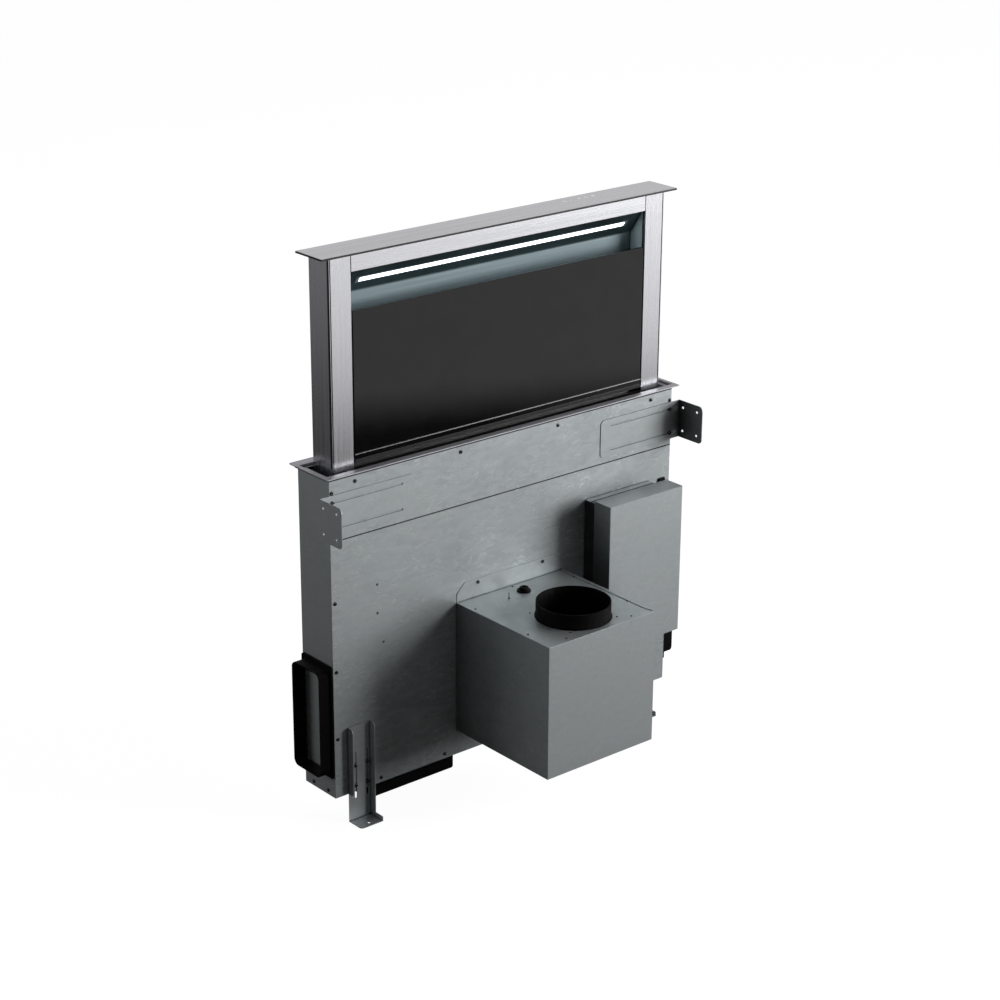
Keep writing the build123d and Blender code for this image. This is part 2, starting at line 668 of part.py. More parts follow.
def intake_canopy():
    """Sloping ceiling with the lamp slot, bent down into the recess's back and its shelf."""
    x0 = STILE_IN - RISER_SHEET - SEAT_GAP
    t = RISER_SHEET
    run, drop = RECESS_Y - SLOPE_Y, SLOPE_Z - CANOPY_LOW
    length = math.hypot(run, drop)
    over = (SLOPE_Y + drop / length * t, SLOPE_Z + run / length * t)
    back = RECESS_Y + t
    over_low = over[1] - (back - over[0]) * drop / run
    shelf = FILTER_Y - 2
    outline = make_face(Polyline(
        (SLOPE_Y, SLOPE_Z), (RECESS_Y, CANOPY_LOW), (RECESS_Y, RECESS_LOW + t),
        (shelf, RECESS_LOW + t), (shelf, RECESS_LOW), (back, RECESS_LOW), (back, over_low),
        over, close=True))
    for corner, radius in (((RECESS_Y, CANOPY_LOW), CANOPY_BEND),
                           ((back, over_low), CANOPY_BEND + t)):
        outline = fillet(outline.vertices().sort_by_distance((*corner, 0))[0], radius)
    sheet = Pos(-x0, 0, 0) * extrude(Plane.YZ * outline, 2 * x0)
    return sheet - led_slot(LED_LEN + 1, LED_W + 1, 12)


def led_frame():
    """Plane on the canopy's face, at the lamp: X along the lamp, Z into the recess."""
    run, drop = RECESS_Y - SLOPE_Y, SLOPE_Z - CANOPY_LOW
    z = SLOPE_Z - (LED_Y - SLOPE_Y) / run * drop
    return Plane(origin=(0, LED_Y, z), x_dir=(1, 0, 0), z_dir=(0, -drop, -run))


def led_slot(length, width, deep):
    """Block centred on the canopy's face at the lamp."""
    return led_frame().location * Box(length, width, deep)


def led_diffuser():
    """Long opal lens, flush in the canopy's slot."""
    return led_frame().location * (Pos(0, 0, -1.0) * Box(LED_LEN, LED_W, 3.0))


def led_housing():
    """Aluminium channel behind the lens."""
    high = LED_CHANNEL_H
    block = Pos(0, 0, -2.5 - high / 2) * Box(LED_LEN, LED_W + 6, high)
    hollow = Pos(0, 0, -2.5 - high / 2 + SHEET) * Box(LED_LEN - 4, LED_W - 3, high)
    return led_frame().location * (block - hollow)


def riser_front_lower():
    """Front sheet below the glass, with the shelf that carries the filters."""
    x0 = STILE_IN - RISER_SHEET - SEAT_GAP
    y0 = RY0 + 2 * RISER_SHEET
    t = RISER_SHEET
    sheet = box(-x0, x0, y0, y0 + t, -RISER_TAIL, 0)
    shelf = box(-x0, x0, y0, FILTER_BACK + t, -t, 0)
    lip = box(-x0, x0, FILTER_BACK, FILTER_BACK + t, -t, 10)
    return sheet + shelf + lip


def grease_filter(index):
    """Baffle filter: frame, two staggered rows of slats and a pull bar."""
    total = 2 * (STILE_IN - RISER_SHEET - FILTER_GAP)
    width = (total - (FILTER_COUNT - 1) * FILTER_GAP) / FILTER_COUNT
    x0 = -total / 2 + index * (width + FILTER_GAP)
    y0, y1 = FILTER_Y, FILTER_Y + FILTER_T
    z0, z1 = SEAT_GAP, RECESS_LOW - SEAT_GAP
    rim = FILTER_RIM
    frame = box(x0, x0 + width, y0, y1, z0, z1)
    frame -= box(x0 + rim, x0 + width - rim, y0 - 1, y1 + 1, z0 + rim, z1 - rim)
    pitch = (width - 2 * rim) / SLATS
    rows = ((0.5, SLATS, 0.36, y0 + SLAT_T), (1.0, SLATS - 1, 0.32, y1 - 2 * SLAT_T))
    for first, count, half, y in rows:
        for i in range(count):
            middle = x0 + rim + (i + first) * pitch
            frame += box(middle - half * pitch, middle + half * pitch, y, y + SLAT_T,
                         z0 + rim - 1, z1 - rim + 1)
    pull_x = x0 + width / 2
    low, high = z1 - rim + 2, z1 - 2
    pull = box(pull_x - PULL_W / 2, pull_x + PULL_W / 2, y0 - PULL_OUT, y0 - PULL_OUT + 2,
               low, high)
    for x in (pull_x - PULL_W / 2 + 2, pull_x + PULL_W / 2 - 2):
        pull += box(x - 2, x + 2, y0 - PULL_OUT, y0, low, high)
    return frame + pull


def top_plate():
    """Brushed plate on top of the riser; it sinks flush into the flange."""
    plate = slab("z", (0, PLATE_Y, PLATE_TOP - PLATE_T / 2), (PLATE_W, PLATE_D), PLATE_T, 1.5)
    return chamfer(plate.edges().group_by(Axis.Z)[-1], 0.4)


def touch_module():
    """Touch sensor housing bonded under the plate."""
    y1 = RY1 - HEADER_FOLD
    return box(TOUCH_X1 - TOUCH_W, TOUCH_X1, y1 - TOUCH_D, y1, RISER_TOP - TOUCH_H, RISER_TOP)


def glass_panel():
    """Black glass door in front of the filters."""
    x0 = STILE_IN - GLASS_GAP
    pane = box(-x0, x0, RY0, RY0 + GLASS_T, GLASS_LOW, GLASS_HIGH)
    return chamfer(pane.edges().group_by(Axis.Y)[0], 0.5)


def glass_carrier():
    """Aluminium profile behind the glass foot, with the bright trim and the pivot bores."""
    x0 = STILE_IN - GLASS_GAP
    back = RY0 + GLASS_T
    low = GLASS_LOW - TRIM_H
    bar = box(-x0, x0, back, back + CARRIER_D, low, low + CARRIER_H + 1)
    bar += box(-x0, x0, RY0 - TRIM_PROUD, back, low, GLASS_LOW)
    for x in (-x0, x0):
        bar -= rod("x", (x, RY0 + PIVOT_INSET, PIVOT_Z), PIVOT_R + PIVOT_CLEAR, 2 * PIVOT_DEEP + 2)
    return bar


def pivot_pins():
    """Two pins, pressed in the stiles, on which the glass door tilts."""
    inner = STILE_IN - GLASS_GAP - PIVOT_DEEP
    outer = STILE_IN + RISER_SHEET + 2
    pin = rod("x", (-(inner + outer) / 2, RY0 + PIVOT_INSET, PIVOT_Z), PIVOT_R, outer - inner)
    return group([pin, mirrored_x(pin)])


# ---------------------------------------------------------------- blower
def blower_back_plate():
    """Plate with cut corners between the blower box and the casing."""
    x0, x1 = BLOWER_X0, BLOWER_X1
    z0, z1 = BLOWER_LOW - PLATE_DROP, BLOWER_TOP + PLATE_RISE
    plate = box(x0, x1, FRONT - SHEET, FRONT, z0, z1)
    plate = chamfer(plate.edges().filter_by(Axis.Y), PLATE_CUT)
    return plate - rod("y", (WHEEL_X, FRONT, WHEEL_Z), CASE_INLET_R, 10)


def blower_box_shell():
    """Folded front, sides and bottom of the blower box."""
    y1 = FRONT - SHEET
    outer = box(BLOWER_X0, BLOWER_X1, BLOWER_Y, y1, BLOWER_LOW, BLOWER_TOP - SHEET)
    inner = box(BLOWER_X0 + SHEET, BLOWER_X1 - SHEET, BLOWER_Y + SHEET, y1 + 1,
                BLOWER_LOW + SHEET, BLOWER_TOP + 1)
    shell = outer - inner
    for x in (BLOWER_X0 + SHEET, BLOWER_X1 - SHEET - 10):
        shell += box(x, x + 10, BLOWER_Y + SHEET, y1, BLOWER_TOP - 2 * SHEET,
                     BLOWER_TOP - SHEET)
    return shell


def blower_box_top():
    """Removable lid with the spigot hole and the cable entry."""
    lid = box(BLOWER_X0, BLOWER_X1, BLOWER_Y, FRONT - SHEET, BLOWER_TOP - SHEET, BLOWER_TOP)
    lid -= rod("z", (SPIGOT_X, SPIGOT_Y, BLOWER_TOP), SPIGOT_R + SHOULDER + SEAT_GAP, 10)
    return lid - rod("z", (GLAND_X, GLAND_Y, BLOWER_TOP), GLAND_R, 10)


def outlet_spigot():
    """Round collar; its square flange sits under the lid and its rolled seam runs inside."""
    low = SCROLL_TOP
    top = BLOWER_TOP + SPIGOT_H
    middle = (SPIGOT_X, SPIGOT_Y, (low + top) / 2)
    bore_r = SPIGOT_R - SPIGOT_WALL
    tube = rod("z", middle, SPIGOT_R, top - low)
    seat_z = BLOWER_TOP - SHEET
    seat = slab("z", (SPIGOT_X, SPIGOT_Y, seat_z - SEAT_T / 2), (SPIGOT_SEAT, SPIGOT_SEAT),
                SEAT_T, 10)
    ring = rod("z", (SPIGOT_X, SPIGOT_Y, BLOWER_TOP - SHEET / 2), SPIGOT_R + SHOULDER, SHEET)
    body = tube + seat + ring - rod("z", middle, bore_r, top - low + 2)
    seam = box(bore_r - SEAM_PROUD, bore_r + 1, -1, 1, low, BLOWER_TOP + 8)
    body += Pos(SPIGOT_X, SPIGOT_Y, 0) * Rot(0, 0, SEAM_ANGLE) * seam
    return body - rod("y", (SPIGOT_X, SPIGOT_Y, PIN_Z), PIN_R, 2 * SPIGOT_R + 2)


def flap_pin():
    """Steel pin across the spigot."""
    return rod("y", (SPIGOT_X, SPIGOT_Y, PIN_Z), PIN_R, 2 * SPIGOT_R - 1)


def damper_flap():
    """Left half-disc flap, rolled around the pin on one half of its straight edge."""
    radius = SPIGOT_R - SPIGOT_WALL - FLAP_GAP
    disc = rod("z", (SPIGOT_X, SPIGOT_Y, PIN_Z), radius, FLAP_T)
    disc &= box(SPIGOT_X - radius - 1, SPIGOT_X - KNUCKLE_R - 0.5, SPIGOT_Y - radius - 1,
                SPIGOT_Y + radius + 1, PIN_Z - FLAP_T, PIN_Z + FLAP_T)
    y = SPIGOT_Y - KNUCKLE_L / 2 - 1
    disc += rod("y", (SPIGOT_X, y, PIN_Z), KNUCKLE_R, KNUCKLE_L)
    disc += box(SPIGOT_X - KNUCKLE_R - 1, SPIGOT_X - 1, y - KNUCKLE_L / 2, y + KNUCKLE_L / 2,
                PIN_Z - FLAP_T / 2, PIN_Z + FLAP_T / 2)
    return disc - rod("y", (SPIGOT_X, SPIGOT_Y, PIN_Z), PIN_R + PIN_CLEAR, 2 * SPIGOT_R)


def cable_gland():
    """Gland in the lid with its lock nut inside; no cable is fitted."""
    gland = rod("z", (GLAND_X, GLAND_Y, BLOWER_TOP + 1.5), GLAND_R + 4, 3)
    gland += rod("z", (GLAND_X, GLAND_Y, BLOWER_TOP + 6), GLAND_R - 1, 6)
    gland += rod("z", (GLAND_X, GLAND_Y, BLOWER_TOP - SHEET / 2), GLAND_R, SHEET)
    gland += prism("z", (GLAND_X, GLAND_Y, BLOWER_TOP - SHEET - 2), GLAND_R + 4, 4, 6)
    return gland - rod("z", (GLAND_X, GLAND_Y, BLOWER_TOP), GLAND_BORE_R, 4 * GLAND_R)


def scroll_point(angle, offset):
    """Point of the spiral wall, which grows from the tongue at 75 degrees to the outlet at 360."""
    end = SPIGOT_X + SPIGOT_R - WHEEL_X
    radius = TONGUE_R + (end - TONGUE_R) * (angle - TONGUE_ANGLE) / (360 - TONGUE_ANGLE)
    return Vector(WHEEL_X, WHEEL_Z) + Vector(radius + offset, 0).rotate(Axis.Z, angle)


def scroll_outline(offset):
    """Closed (x, z) face of the scroll, its wall moved out by offset."""
    step = (360 - TONGUE_ANGLE) / 3
    spiral = []
    for i in range(3):
        angles = [TONGUE_ANGLE + step * (i + part) for part in (0, 0.5, 1)]
        spiral.append(ThreePointArc(*[scroll_point(angle, offset) for angle in angles]))
    tongue, end = scroll_point(TONGUE_ANGLE, offset), scroll_point(360, offset)
    left = SPIGOT_X - SPIGOT_R - offset
    outlet = Polyline(end, (end.X, SCROLL_TOP), (left, SCROLL_TOP), (left, tongue.Y + TONGUE_LEAN),
                      tongue)
    return make_face(Plane.XZ * (Curve() + spiral + outlet))


def blower_scroll():
    """Snail housing: spiral wall, two cheeks, an inlet hole and a square outlet."""
    y_mid = SPIGOT_Y
    y0, y1 = y_mid - SCROLL_W / 2, y_mid + SCROLL_W / 2
    outer = extrude(Pos(0, y1, 0) * scroll_outline(0), SCROLL_W)
    inner = extrude(Pos(0, y1 - SCROLL_WALL, 0) * scroll_outline(-SCROLL_WALL),
                    SCROLL_W - 2 * SCROLL_WALL)
    shell = outer - inner
    stop = SCROLL_TOP
    mouth = box(SPIGOT_X - SPIGOT_R + SCROLL_WALL, SPIGOT_X + SPIGOT_R - SCROLL_WALL,
                y0 + SCROLL_WALL, y1 - SCROLL_WALL, stop - 10, stop + 1)
    eye = rod("y", (WHEEL_X, y1, WHEEL_Z), INLET_R + 4, 20)
    return shell - mouth - eye


def inlet_ring():
    """Bell mouth on the scroll's inlet."""
    y1 = SPIGOT_Y + SCROLL_W / 2
    ring = rod("y", (WHEEL_X, y1 + 1, WHEEL_Z), INLET_R + 14, 2)
    ring += rod("y", (WHEEL_X, y1 - 3, WHEEL_Z), INLET_R + 4, 6)
    bell = Pos(WHEEL_X, y1 - 2, WHEEL_Z) * Rot(90, 0, 0) * Cone(INLET_R + 1, INLET_R - 2, 8)
    return ring - rod("y", (WHEEL_X, y1, WHEEL_Z), INLET_R - 2, 30) - bell


def blower_motor():
    """Motor bolted to the scroll's front cheek, reaching into the wheel."""
    y0 = SPIGOT_Y - SCROLL_W / 2 + SCROLL_WALL
    motor = rod("y", (WHEEL_X, y0 + 2, WHEEL_Z), MOTOR_R + 12, 4)
    motor += rod("y", (WHEEL_X, y0 + MOTOR_L / 2, WHEEL_Z), MOTOR_R, MOTOR_L)
    shaft_end = DISC_Y + HUB_L / 2 + 4
    motor += rod("y", (WHEEL_X, (y0 + shaft_end) / 2, WHEEL_Z), MOTOR_SHAFT_R, shaft_end - y0)
    return motor


def blade_section():
    """One forward-curved blade in the wheel plane, a strip bent once on its way out."""
    bends = ((WHEEL_IN, 0.0), ((WHEEL_IN + WHEEL_R) / 2 + 1, 1.5), (WHEEL_R, 9.0))
    near = [Vector(r, 0).rotate(Axis.Z, a) for r, a in bends]
    far = [Vector(r, 0).rotate(Axis.Z, a + math.degrees(BLADE_T / r)) for r, a in bends]
    return make_face(Polyline(*near, *reversed(far), close=True))


def impeller():
    """Squirrel-cage wheel: curved blades between two rings, carried by a middle disc."""
    blade = Pos(0, 0, -WHEEL_W / 2) * extrude(blade_section(), WHEEL_W)
    blades = [Rot(0, 0, 360 / BLADES * i) * blade for i in range(BLADES)]
    edge = RegularPolygon(WHEEL_R + 1.5, BLADES) - RegularPolygon(WHEEL_IN - 1, BLADES)
    ring = extrude(edge, WHEEL_RING / 2, both=True)
    disc_z = SPIGOT_Y - DISC_Y
    disc = Pos(0, 0, disc_z) * extrude(RegularPolygon(WHEEL_IN + 1, BLADES), WHEEL_DISC / 2, both=True)
    hub = Pos(0, 0, disc_z) * Cylinder(HUB_R, HUB_L)
    wheel = Pos(0, 0, WHEEL_W / 2) * ring + Pos(0, 0, -WHEEL_W / 2) * ring + disc + hub
    wheel = wheel.fuse(*blades) - Cylinder(MOTOR_SHAFT_R + BORE_CLEAR, 2 * WHEEL_W)
    return Pos(WHEEL_X, SPIGOT_Y, WHEEL_Z) * TURN["y"] * wheel


# ---------------------------------------------------------------- control box
def control_base():
    """Inset black base of the control box, open to the front."""
    x0, x1 = CONTROL_X[0] + CONTROL_INSET, CONTROL_X[1] - CONTROL_INSET
    z0, z1 = CONTROL_Z[0] + CONTROL_INSET, CONTROL_Z[1] - CONTROL_INSET
    y0 = FRONT - CONTROL_BASE
    outer = box(x0, x1, y0, FRONT, z0, z1)
    inner = box(x0 + SHEET, x1 - SHEET, y0 - 1, FRONT - SHEET, z0 + SHEET, z1 - SHEET)
    return outer - inner - rod("y", (CABLE_X, FRONT, CABLE_Z), CABLE_R, 10)


def control_cover():
    """Galvanised cover of the control box, with a return around its open back."""
    y1 = FRONT - CONTROL_BASE
    y0 = y1 - CONTROL_COVER
    x0, x1 = CONTROL_X
    z0, z1 = CONTROL_Z
    t = SHEET
    rim = CONTROL_INSET + SHEET
    outer = box(x0, x1, y0, y1, z0, z1)
    outer = fillet(outer.edges().filter_by(Axis.Z).group_by(Axis.Y)[0], t)
    inner = box(x0 + t, x1 - t, y0 + t, y1 - t, z0 + t, z1 - t)
    window = box(x0 + rim, x1 - rim, y1 - 2 * t, y1 + 1, z0 + rim, z1 - rim)
    return outer - inner - window


def control_board():
    """Circuit board with relays, a capacitor and a terminal strip on its standoffs."""
    x0, x1 = CABLE_X - BOARD_W / 2, CABLE_X + BOARD_W / 2
    z0 = CONTROL_Z[0] + CONTROL_INSET + SHEET + CORE_H + BOARD_RISE
    z1 = CABLE_Z - CABLE_R - BOARD_DROP
    back = FRONT - SHEET
    y = back - STANDOFF
    face = y - BOARD_T
    board = box(x0, x1, face, y, z0, z1)
    for x in (x0, x1 - STANDOFF_W):
        for z in (z0, z1 - STANDOFF_W):
            board += box(x, x + STANDOFF_W, y, back, z, z + STANDOFF_W)
    relay_top = z1 - RELAY_DROP
    for i in range(3):
        x = x0 + RELAY_IN + RELAY_PITCH * i
        board += box(x, x + RELAY_W, face - RELAY_D, face, relay_top - RELAY_H, relay_top)
    strip_z = z0 + TERMINAL_RISE
    board += box(x0 + RELAY_IN, x1 - RELAY_IN, face - TERMINAL_H, face, strip_z,
                 strip_z + TERMINAL_H)
    capacitor_at = (x1 - CAPACITOR_AT[0], face - CAPACITOR_L / 2, z1 - CAPACITOR_AT[1])
    return board + rod("y", capacitor_at, CAPACITOR_R, CAPACITOR_L)


def transformer():
    """Supply transformer on the floor of the control box."""
    x0 = CONTROL_X[0] + CORE_IN
    z0 = CONTROL_Z[0] + CONTROL_INSET + SHEET
    y1 = FRONT - SHEET
    core = box(x0, x0 + CORE_W, y1 - CORE_D, y1, z0, z0 + CORE_H)
    coil = box(x0 - COIL_PROUD, x0 + CORE_W + COIL_PROUD, y1 - CORE_D + COIL_Y, y1 - COIL_Y,
               z0 + COIL_Z, z0 + CORE_H - COIL_Z)
    return core + coil


# ---------------------------------------------------------------- feet and brackets
def foot(centre_x):
    """Adjustable foot: slotted channel on the front panel and a turned-out floor plate."""
    t = FOOT_T
    x0, x1 = centre_x - FOOT_W / 2, centre_x + FOOT_W / 2
    rim_y = FRONT - FOOT_DEEP
    plate_y = FRONT - FOOT_PLATE_D
    web = box(x0, x1, FRONT - t, FRONT, FOOT_LOW, FOOT_TOP)
    left = box(x0, x0 + t, rim_y, FRONT, -CASE_H, FOOT_TOP)
    left = fillet(left.edges().filter_by(Axis.X).group_by(Axis.Y)[0], 7.5)
    right = box(x1 - t, x1, rim_y, FRONT, FOOT_LOW, FOOT_TOP)
    right = fillet(right.edges().filter_by(Axis.X).group_by(Axis.Y)[0].sort_by(Axis.Z)[-1], 7.5)
    plate = box(x0, x1, plate_y, FRONT, FOOT_LOW, FOOT_LOW + t)
    plate = fillet(plate.edges().filter_by(Axis.Z).group_by(Axis.Y)[0].sort_by(Axis.X)[0], 8)
    tab = box(x1 - t, x1, plate_y, FRONT, FOOT_LOW, FOOT_LOW + 10)
    body = web + left + right + plate + tab
    slot_z = sum(FOOT_SLOT) / 2
    slot_size = (FOOT_SLOT_W, FOOT_SLOT[1] - FOOT_SLOT[0])
    for dx in FOOT_SLOT_X:
        body -= slab("y", (centre_x + dx, FRONT, slot_z), slot_size, 10, FOOT_SLOT_W / 2 - 0.01)
    hole_y = (rim_y + plate_y) / 2
    return body - rod("z", (centre_x, hole_y, FOOT_LOW), FOOT_HOLE_R, 10)


def side_bracket():
    """Right fixing bracket: slotted arm on the front panel, drilled plate at its end."""
    low, high = ARM_Z - ARM_H / 2, ARM_Z + ARM_H / 2
    arm_y = FRONT - ARM_T
    arm = box(ARM_IN, ARM_OUT, arm_y, FRONT, low, high)
    arm = fillet(arm.edges().filter_by(Axis.Y).group_by(Axis.X)[0], BRACKET_R)
    plate = box(ARM_OUT - ARM_T, ARM_OUT, arm_y - BRACKET_PLATE, FRONT, low, high)
    plate = fillet(plate.edges().filter_by(Axis.X).group_by(Axis.Y)[0], BRACKET_R)
    body = arm + plate
    slot_x = sum(ARM_SLOT) / 2
    slot_size = (ARM_SLOT[1] - ARM_SLOT[0], ARM_SLOT_W)
    for dz in (-ARM_SCREW_DZ, ARM_SCREW_DZ):
        body -= slab("y", (slot_x, FRONT, ARM_Z + dz), slot_size, 10, ARM_SLOT_W / 2 - 0.01)
    for dy in (-BRACKET_PITCH_Y / 2, BRACKET_PITCH_Y / 2):
        for dz in (-BRACKET_PITCH_Z / 2, BRACKET_PITCH_Z / 2):
            hole = (ARM_OUT, arm_y - BRACKET_HOLES_Y + dy, ARM_Z + dz)
            body -= rod("x", hole, BRACKET_HOLE_R, 10)
    return body


# ---------------------------------------------------------------- screws
def casing_screws():
    """Pan-head screws of the casing, the blower plate and the blower lid."""
    front = [(x, -CASE_H + BOTTOM_SCREW_RISE) for x in BOTTOM_SCREW_X]
    first, last = SEAM_Z - SIDE_SCREW_END, -CASE_H + SIDE_SCREW_END
    for side in (-1, 1):
        front.append((side * (CX - TOP_SCREW_IN), -TOP_SCREW_DROP))
        front.append((side * TOP_SCREW_X, -TOP_SCREW_DROP))
        front.append((side * (CX - SHOULDER_SCREW_IN), -SHOULDER_SCREW_DROP))
        front += [(side * (CX - SIDE_SCREW_IN), z) for z in (first, (first + last) / 2, last)]
    screws = [screw("-y", (x, FRONT, z), SHANK_L) for x, z in front]
    for x in (BLOWER_X - LID_SCREW_X, BLOWER_X + LID_SCREW_X):
        for z in (BLOWER_TOP + PLATE_RISE - 7, BLOWER_LOW - PLATE_DROP + 11):
            screws.append(screw("-y", (x, FRONT - SHEET, z), SHANK_L))
        screws.append(screw("z", (x, BLOWER_Y + 12.5, BLOWER_TOP), SHANK_L))
    for x in (BLOWER_X0 + LID_EDGE, BLOWER_X1 - LID_EDGE):
        for y in (FRONT - LID_SCREW_BACK, BLOWER_Y + LID_SCREW_FRONT):
            screws.append(screw("z", (x, y, BLOWER_TOP), SHANK_L))
    half = SPIGOT_PCD / 2 * math.sqrt(0.5)
    for x in (SPIGOT_X - half, SPIGOT_X + half):
        for y in (SPIGOT_Y - half, SPIGOT_Y + half):
            screws.append(screw("z", (x, y, BLOWER_TOP), SHANK_L))
    return group(screws)


def clamp_screws():
    """Screws that clamp the feet and the side brackets in their slots."""
    grip = SHANK_L + ARM_T
    screws = []
    for centre in FOOT_X:
        for dx in FOOT_SLOT_X:
            for z in FOOT_SCREW_Z:
                screws.append(screw("-y", (centre + dx, FRONT - FOOT_T - THIN_GAP, z), grip))
    for x in (-ARM_SCREW_X, ARM_SCREW_X):
        for dz in (-ARM_SCREW_DZ, ARM_SCREW_DZ):
            point = (x, FRONT - ARM_T - THIN_GAP, ARM_Z + dz)
            screws.append(screw("-y", point, grip))
    return group(screws)


# ---------------------------------------------------------------- write the pieces
left_side = casing_side()
left_collar = side_collar()
left_rail = guide_rail()
right_rack = rack()
left_runners = runner_blocks()
left_stile = stile()
left_riser_side = riser_side()
right_bracket = side_bracket()
left_flap = damper_flap()
right_flap = left_flap.rotate(Axis((SPIGOT_X, SPIGOT_Y, 0), (0, 0, 1)), 180)

PIECES = {
    "worktop_flange": worktop_flange(),
    "flange_seal": flange_seal(),
    "casing_front_upper": casing_front_upper(),
    "casing_front_lower": casing_front_lower(),
    "casing_back": casing_back(),
    "casing_left_side": left_side,
    "casing_right_side": mirrored_x(left_side),
    "casing_bottom": casing_bottom(),
    "left_duct_collar": left_collar,
    "right_duct_collar": mirrored_x(left_collar),
    "bottom_duct_collar": bottom_collar(),
    "duct_blanking_plates": blanking_plates(),
    "guide_rails": group([left_rail, mirrored_x(left_rail)]),
    "lift_racks": group([right_rack, mirrored_x(right_rack)]),
    "blower_back_plate": blower_back_plate(),
    "blower_box_shell": blower_box_shell(),
    "blower_box_top": blower_box_top(),
    "outlet_spigot": outlet_spigot(),
    "flap_pin": flap_pin(),
    "cable_gland": cable_gland(),
    "blower_scroll": blower_scroll(),
    "inlet_ring": inlet_ring(),
    "blower_motor": blower_motor(),
    "control_box_base": control_base(),
    "control_box_cover": control_cover(),
    "control_board": control_board(),
    "transformer": transformer(),
    "casing_screws": casing_screws(),
    "clamp_screws": clamp_screws(),
    "top_plate": top_plate(),
    "touch_module": touch_module(),
    "header_rail": header_rail(),
    "left_stile": left_stile,
    "right_stile": mirrored_x(left_stile),
    "left_riser_side": left_riser_side,
    "right_riser_side": mirrored_x(left_riser_side),
    "riser_back": riser_back(),
    "riser_bottom_frame": riser_bottom_frame(),
    "riser_front_lower": riser_front_lower(),
    "intake_canopy": intake_canopy(),
    "led_housing": led_housing(),
    "led_diffuser": led_diffuser(),
    "grease_filter_left": grease_filter(0),
    "grease_filter_middle": grease_filter(1),
    "grease_filter_right": grease_filter(2),
    "guide_runners": group(left_runners + [mirrored_x(block) for block in left_runners]),
    "lift_motor": lift_motor(),
    "shaft_bearings": shaft_bearings(),
    "pivot_pins": pivot_pins(),
    "glass_panel": glass_panel(),
    "glass_carrier": glass_carrier(),
    "lift_shaft": lift_shaft(),
    "lift_pinions": pinions(),
    "impeller": impeller(),
    "left_damper_flap": left_flap,
    "right_damper_flap": right_flap,
    "left_foot": foot(FOOT_X[0]),
    "right_foot": foot(FOOT_X[1]),
    "left_side_bracket": mirrored_x(right_bracket),
    "right_side_bracket": right_bracket,
}

for node, shape in PIECES.items():
    save(node, shape)
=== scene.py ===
"""Looks of a telescopic downdraft vent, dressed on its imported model.

Lengths are in metres, in the model's own frame: +X runs along the worktop, -Y is the front,
+Z is up, and the origin lies on the plane where the flange rests on the worktop.
"""

from __future__ import annotations

import json
import logging
import math
from dataclasses import dataclass, field, replace
from enum import Enum
from typing import Any

import bmesh
import bpy
from mathutils import Matrix, Vector

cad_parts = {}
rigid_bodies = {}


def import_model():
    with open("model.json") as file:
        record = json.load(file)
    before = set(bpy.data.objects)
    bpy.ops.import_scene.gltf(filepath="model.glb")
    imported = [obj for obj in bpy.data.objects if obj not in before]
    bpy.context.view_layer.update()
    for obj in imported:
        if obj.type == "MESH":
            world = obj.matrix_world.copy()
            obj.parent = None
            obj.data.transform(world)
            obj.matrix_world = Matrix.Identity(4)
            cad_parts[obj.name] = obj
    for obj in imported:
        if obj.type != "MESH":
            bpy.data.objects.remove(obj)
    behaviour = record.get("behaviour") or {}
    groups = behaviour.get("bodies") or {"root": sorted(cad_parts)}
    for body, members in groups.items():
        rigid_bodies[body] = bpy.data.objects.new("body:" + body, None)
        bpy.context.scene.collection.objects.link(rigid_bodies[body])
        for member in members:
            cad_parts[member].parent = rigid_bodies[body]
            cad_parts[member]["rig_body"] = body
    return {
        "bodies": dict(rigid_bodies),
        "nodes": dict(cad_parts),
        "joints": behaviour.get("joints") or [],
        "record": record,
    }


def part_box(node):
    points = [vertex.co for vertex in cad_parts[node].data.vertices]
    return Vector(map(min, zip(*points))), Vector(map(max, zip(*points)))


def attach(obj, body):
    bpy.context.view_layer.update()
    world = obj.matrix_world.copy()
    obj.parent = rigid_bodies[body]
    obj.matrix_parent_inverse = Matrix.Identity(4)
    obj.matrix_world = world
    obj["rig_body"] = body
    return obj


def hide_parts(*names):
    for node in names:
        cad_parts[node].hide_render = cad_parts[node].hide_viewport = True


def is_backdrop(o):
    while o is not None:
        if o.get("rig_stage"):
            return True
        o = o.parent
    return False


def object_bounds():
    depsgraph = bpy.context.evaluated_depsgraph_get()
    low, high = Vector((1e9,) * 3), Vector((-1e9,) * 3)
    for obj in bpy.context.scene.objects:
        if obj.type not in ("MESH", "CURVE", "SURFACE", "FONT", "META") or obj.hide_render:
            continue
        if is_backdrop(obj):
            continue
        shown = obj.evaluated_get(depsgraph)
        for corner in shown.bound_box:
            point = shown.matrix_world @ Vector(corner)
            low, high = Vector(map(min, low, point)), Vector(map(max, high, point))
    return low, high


LOG = logging.getLogger("downdraft_vent")
MM = 0.001
SMOOTH_BELOW = math.radians(35.0)
ORIGIN = (0.0, 0.0, 0.0)
BLACK = (0.0, 0.0, 0.0)
TONES = {"Light": (0.6, 0.6, 0.6, 1.0), "Dark": (0.5, 0.5, 0.5, 1.0)}
Colour = tuple[float, float, float]
Point = tuple[float, float, float]
Pair = tuple[float, float]
Outline = tuple[Pair, ...]
Seat = tuple[Point, Point]
Thing = bpy.types.Object
Socket = bpy.types.NodeSocket
Shape = bmesh.types.BMesh
Tree = bpy.types.NodeTree
Material = bpy.types.Material


def mm(*sizes: float) -> tuple[float, ...]:
    """Gives millimetres in metres."""
    return tuple(size * MM for size in sizes)


def mm_pairs(*points: Pair) -> Outline:
    """Gives points in millimetres in metres."""
    return tuple(mm(*point) for point in points)


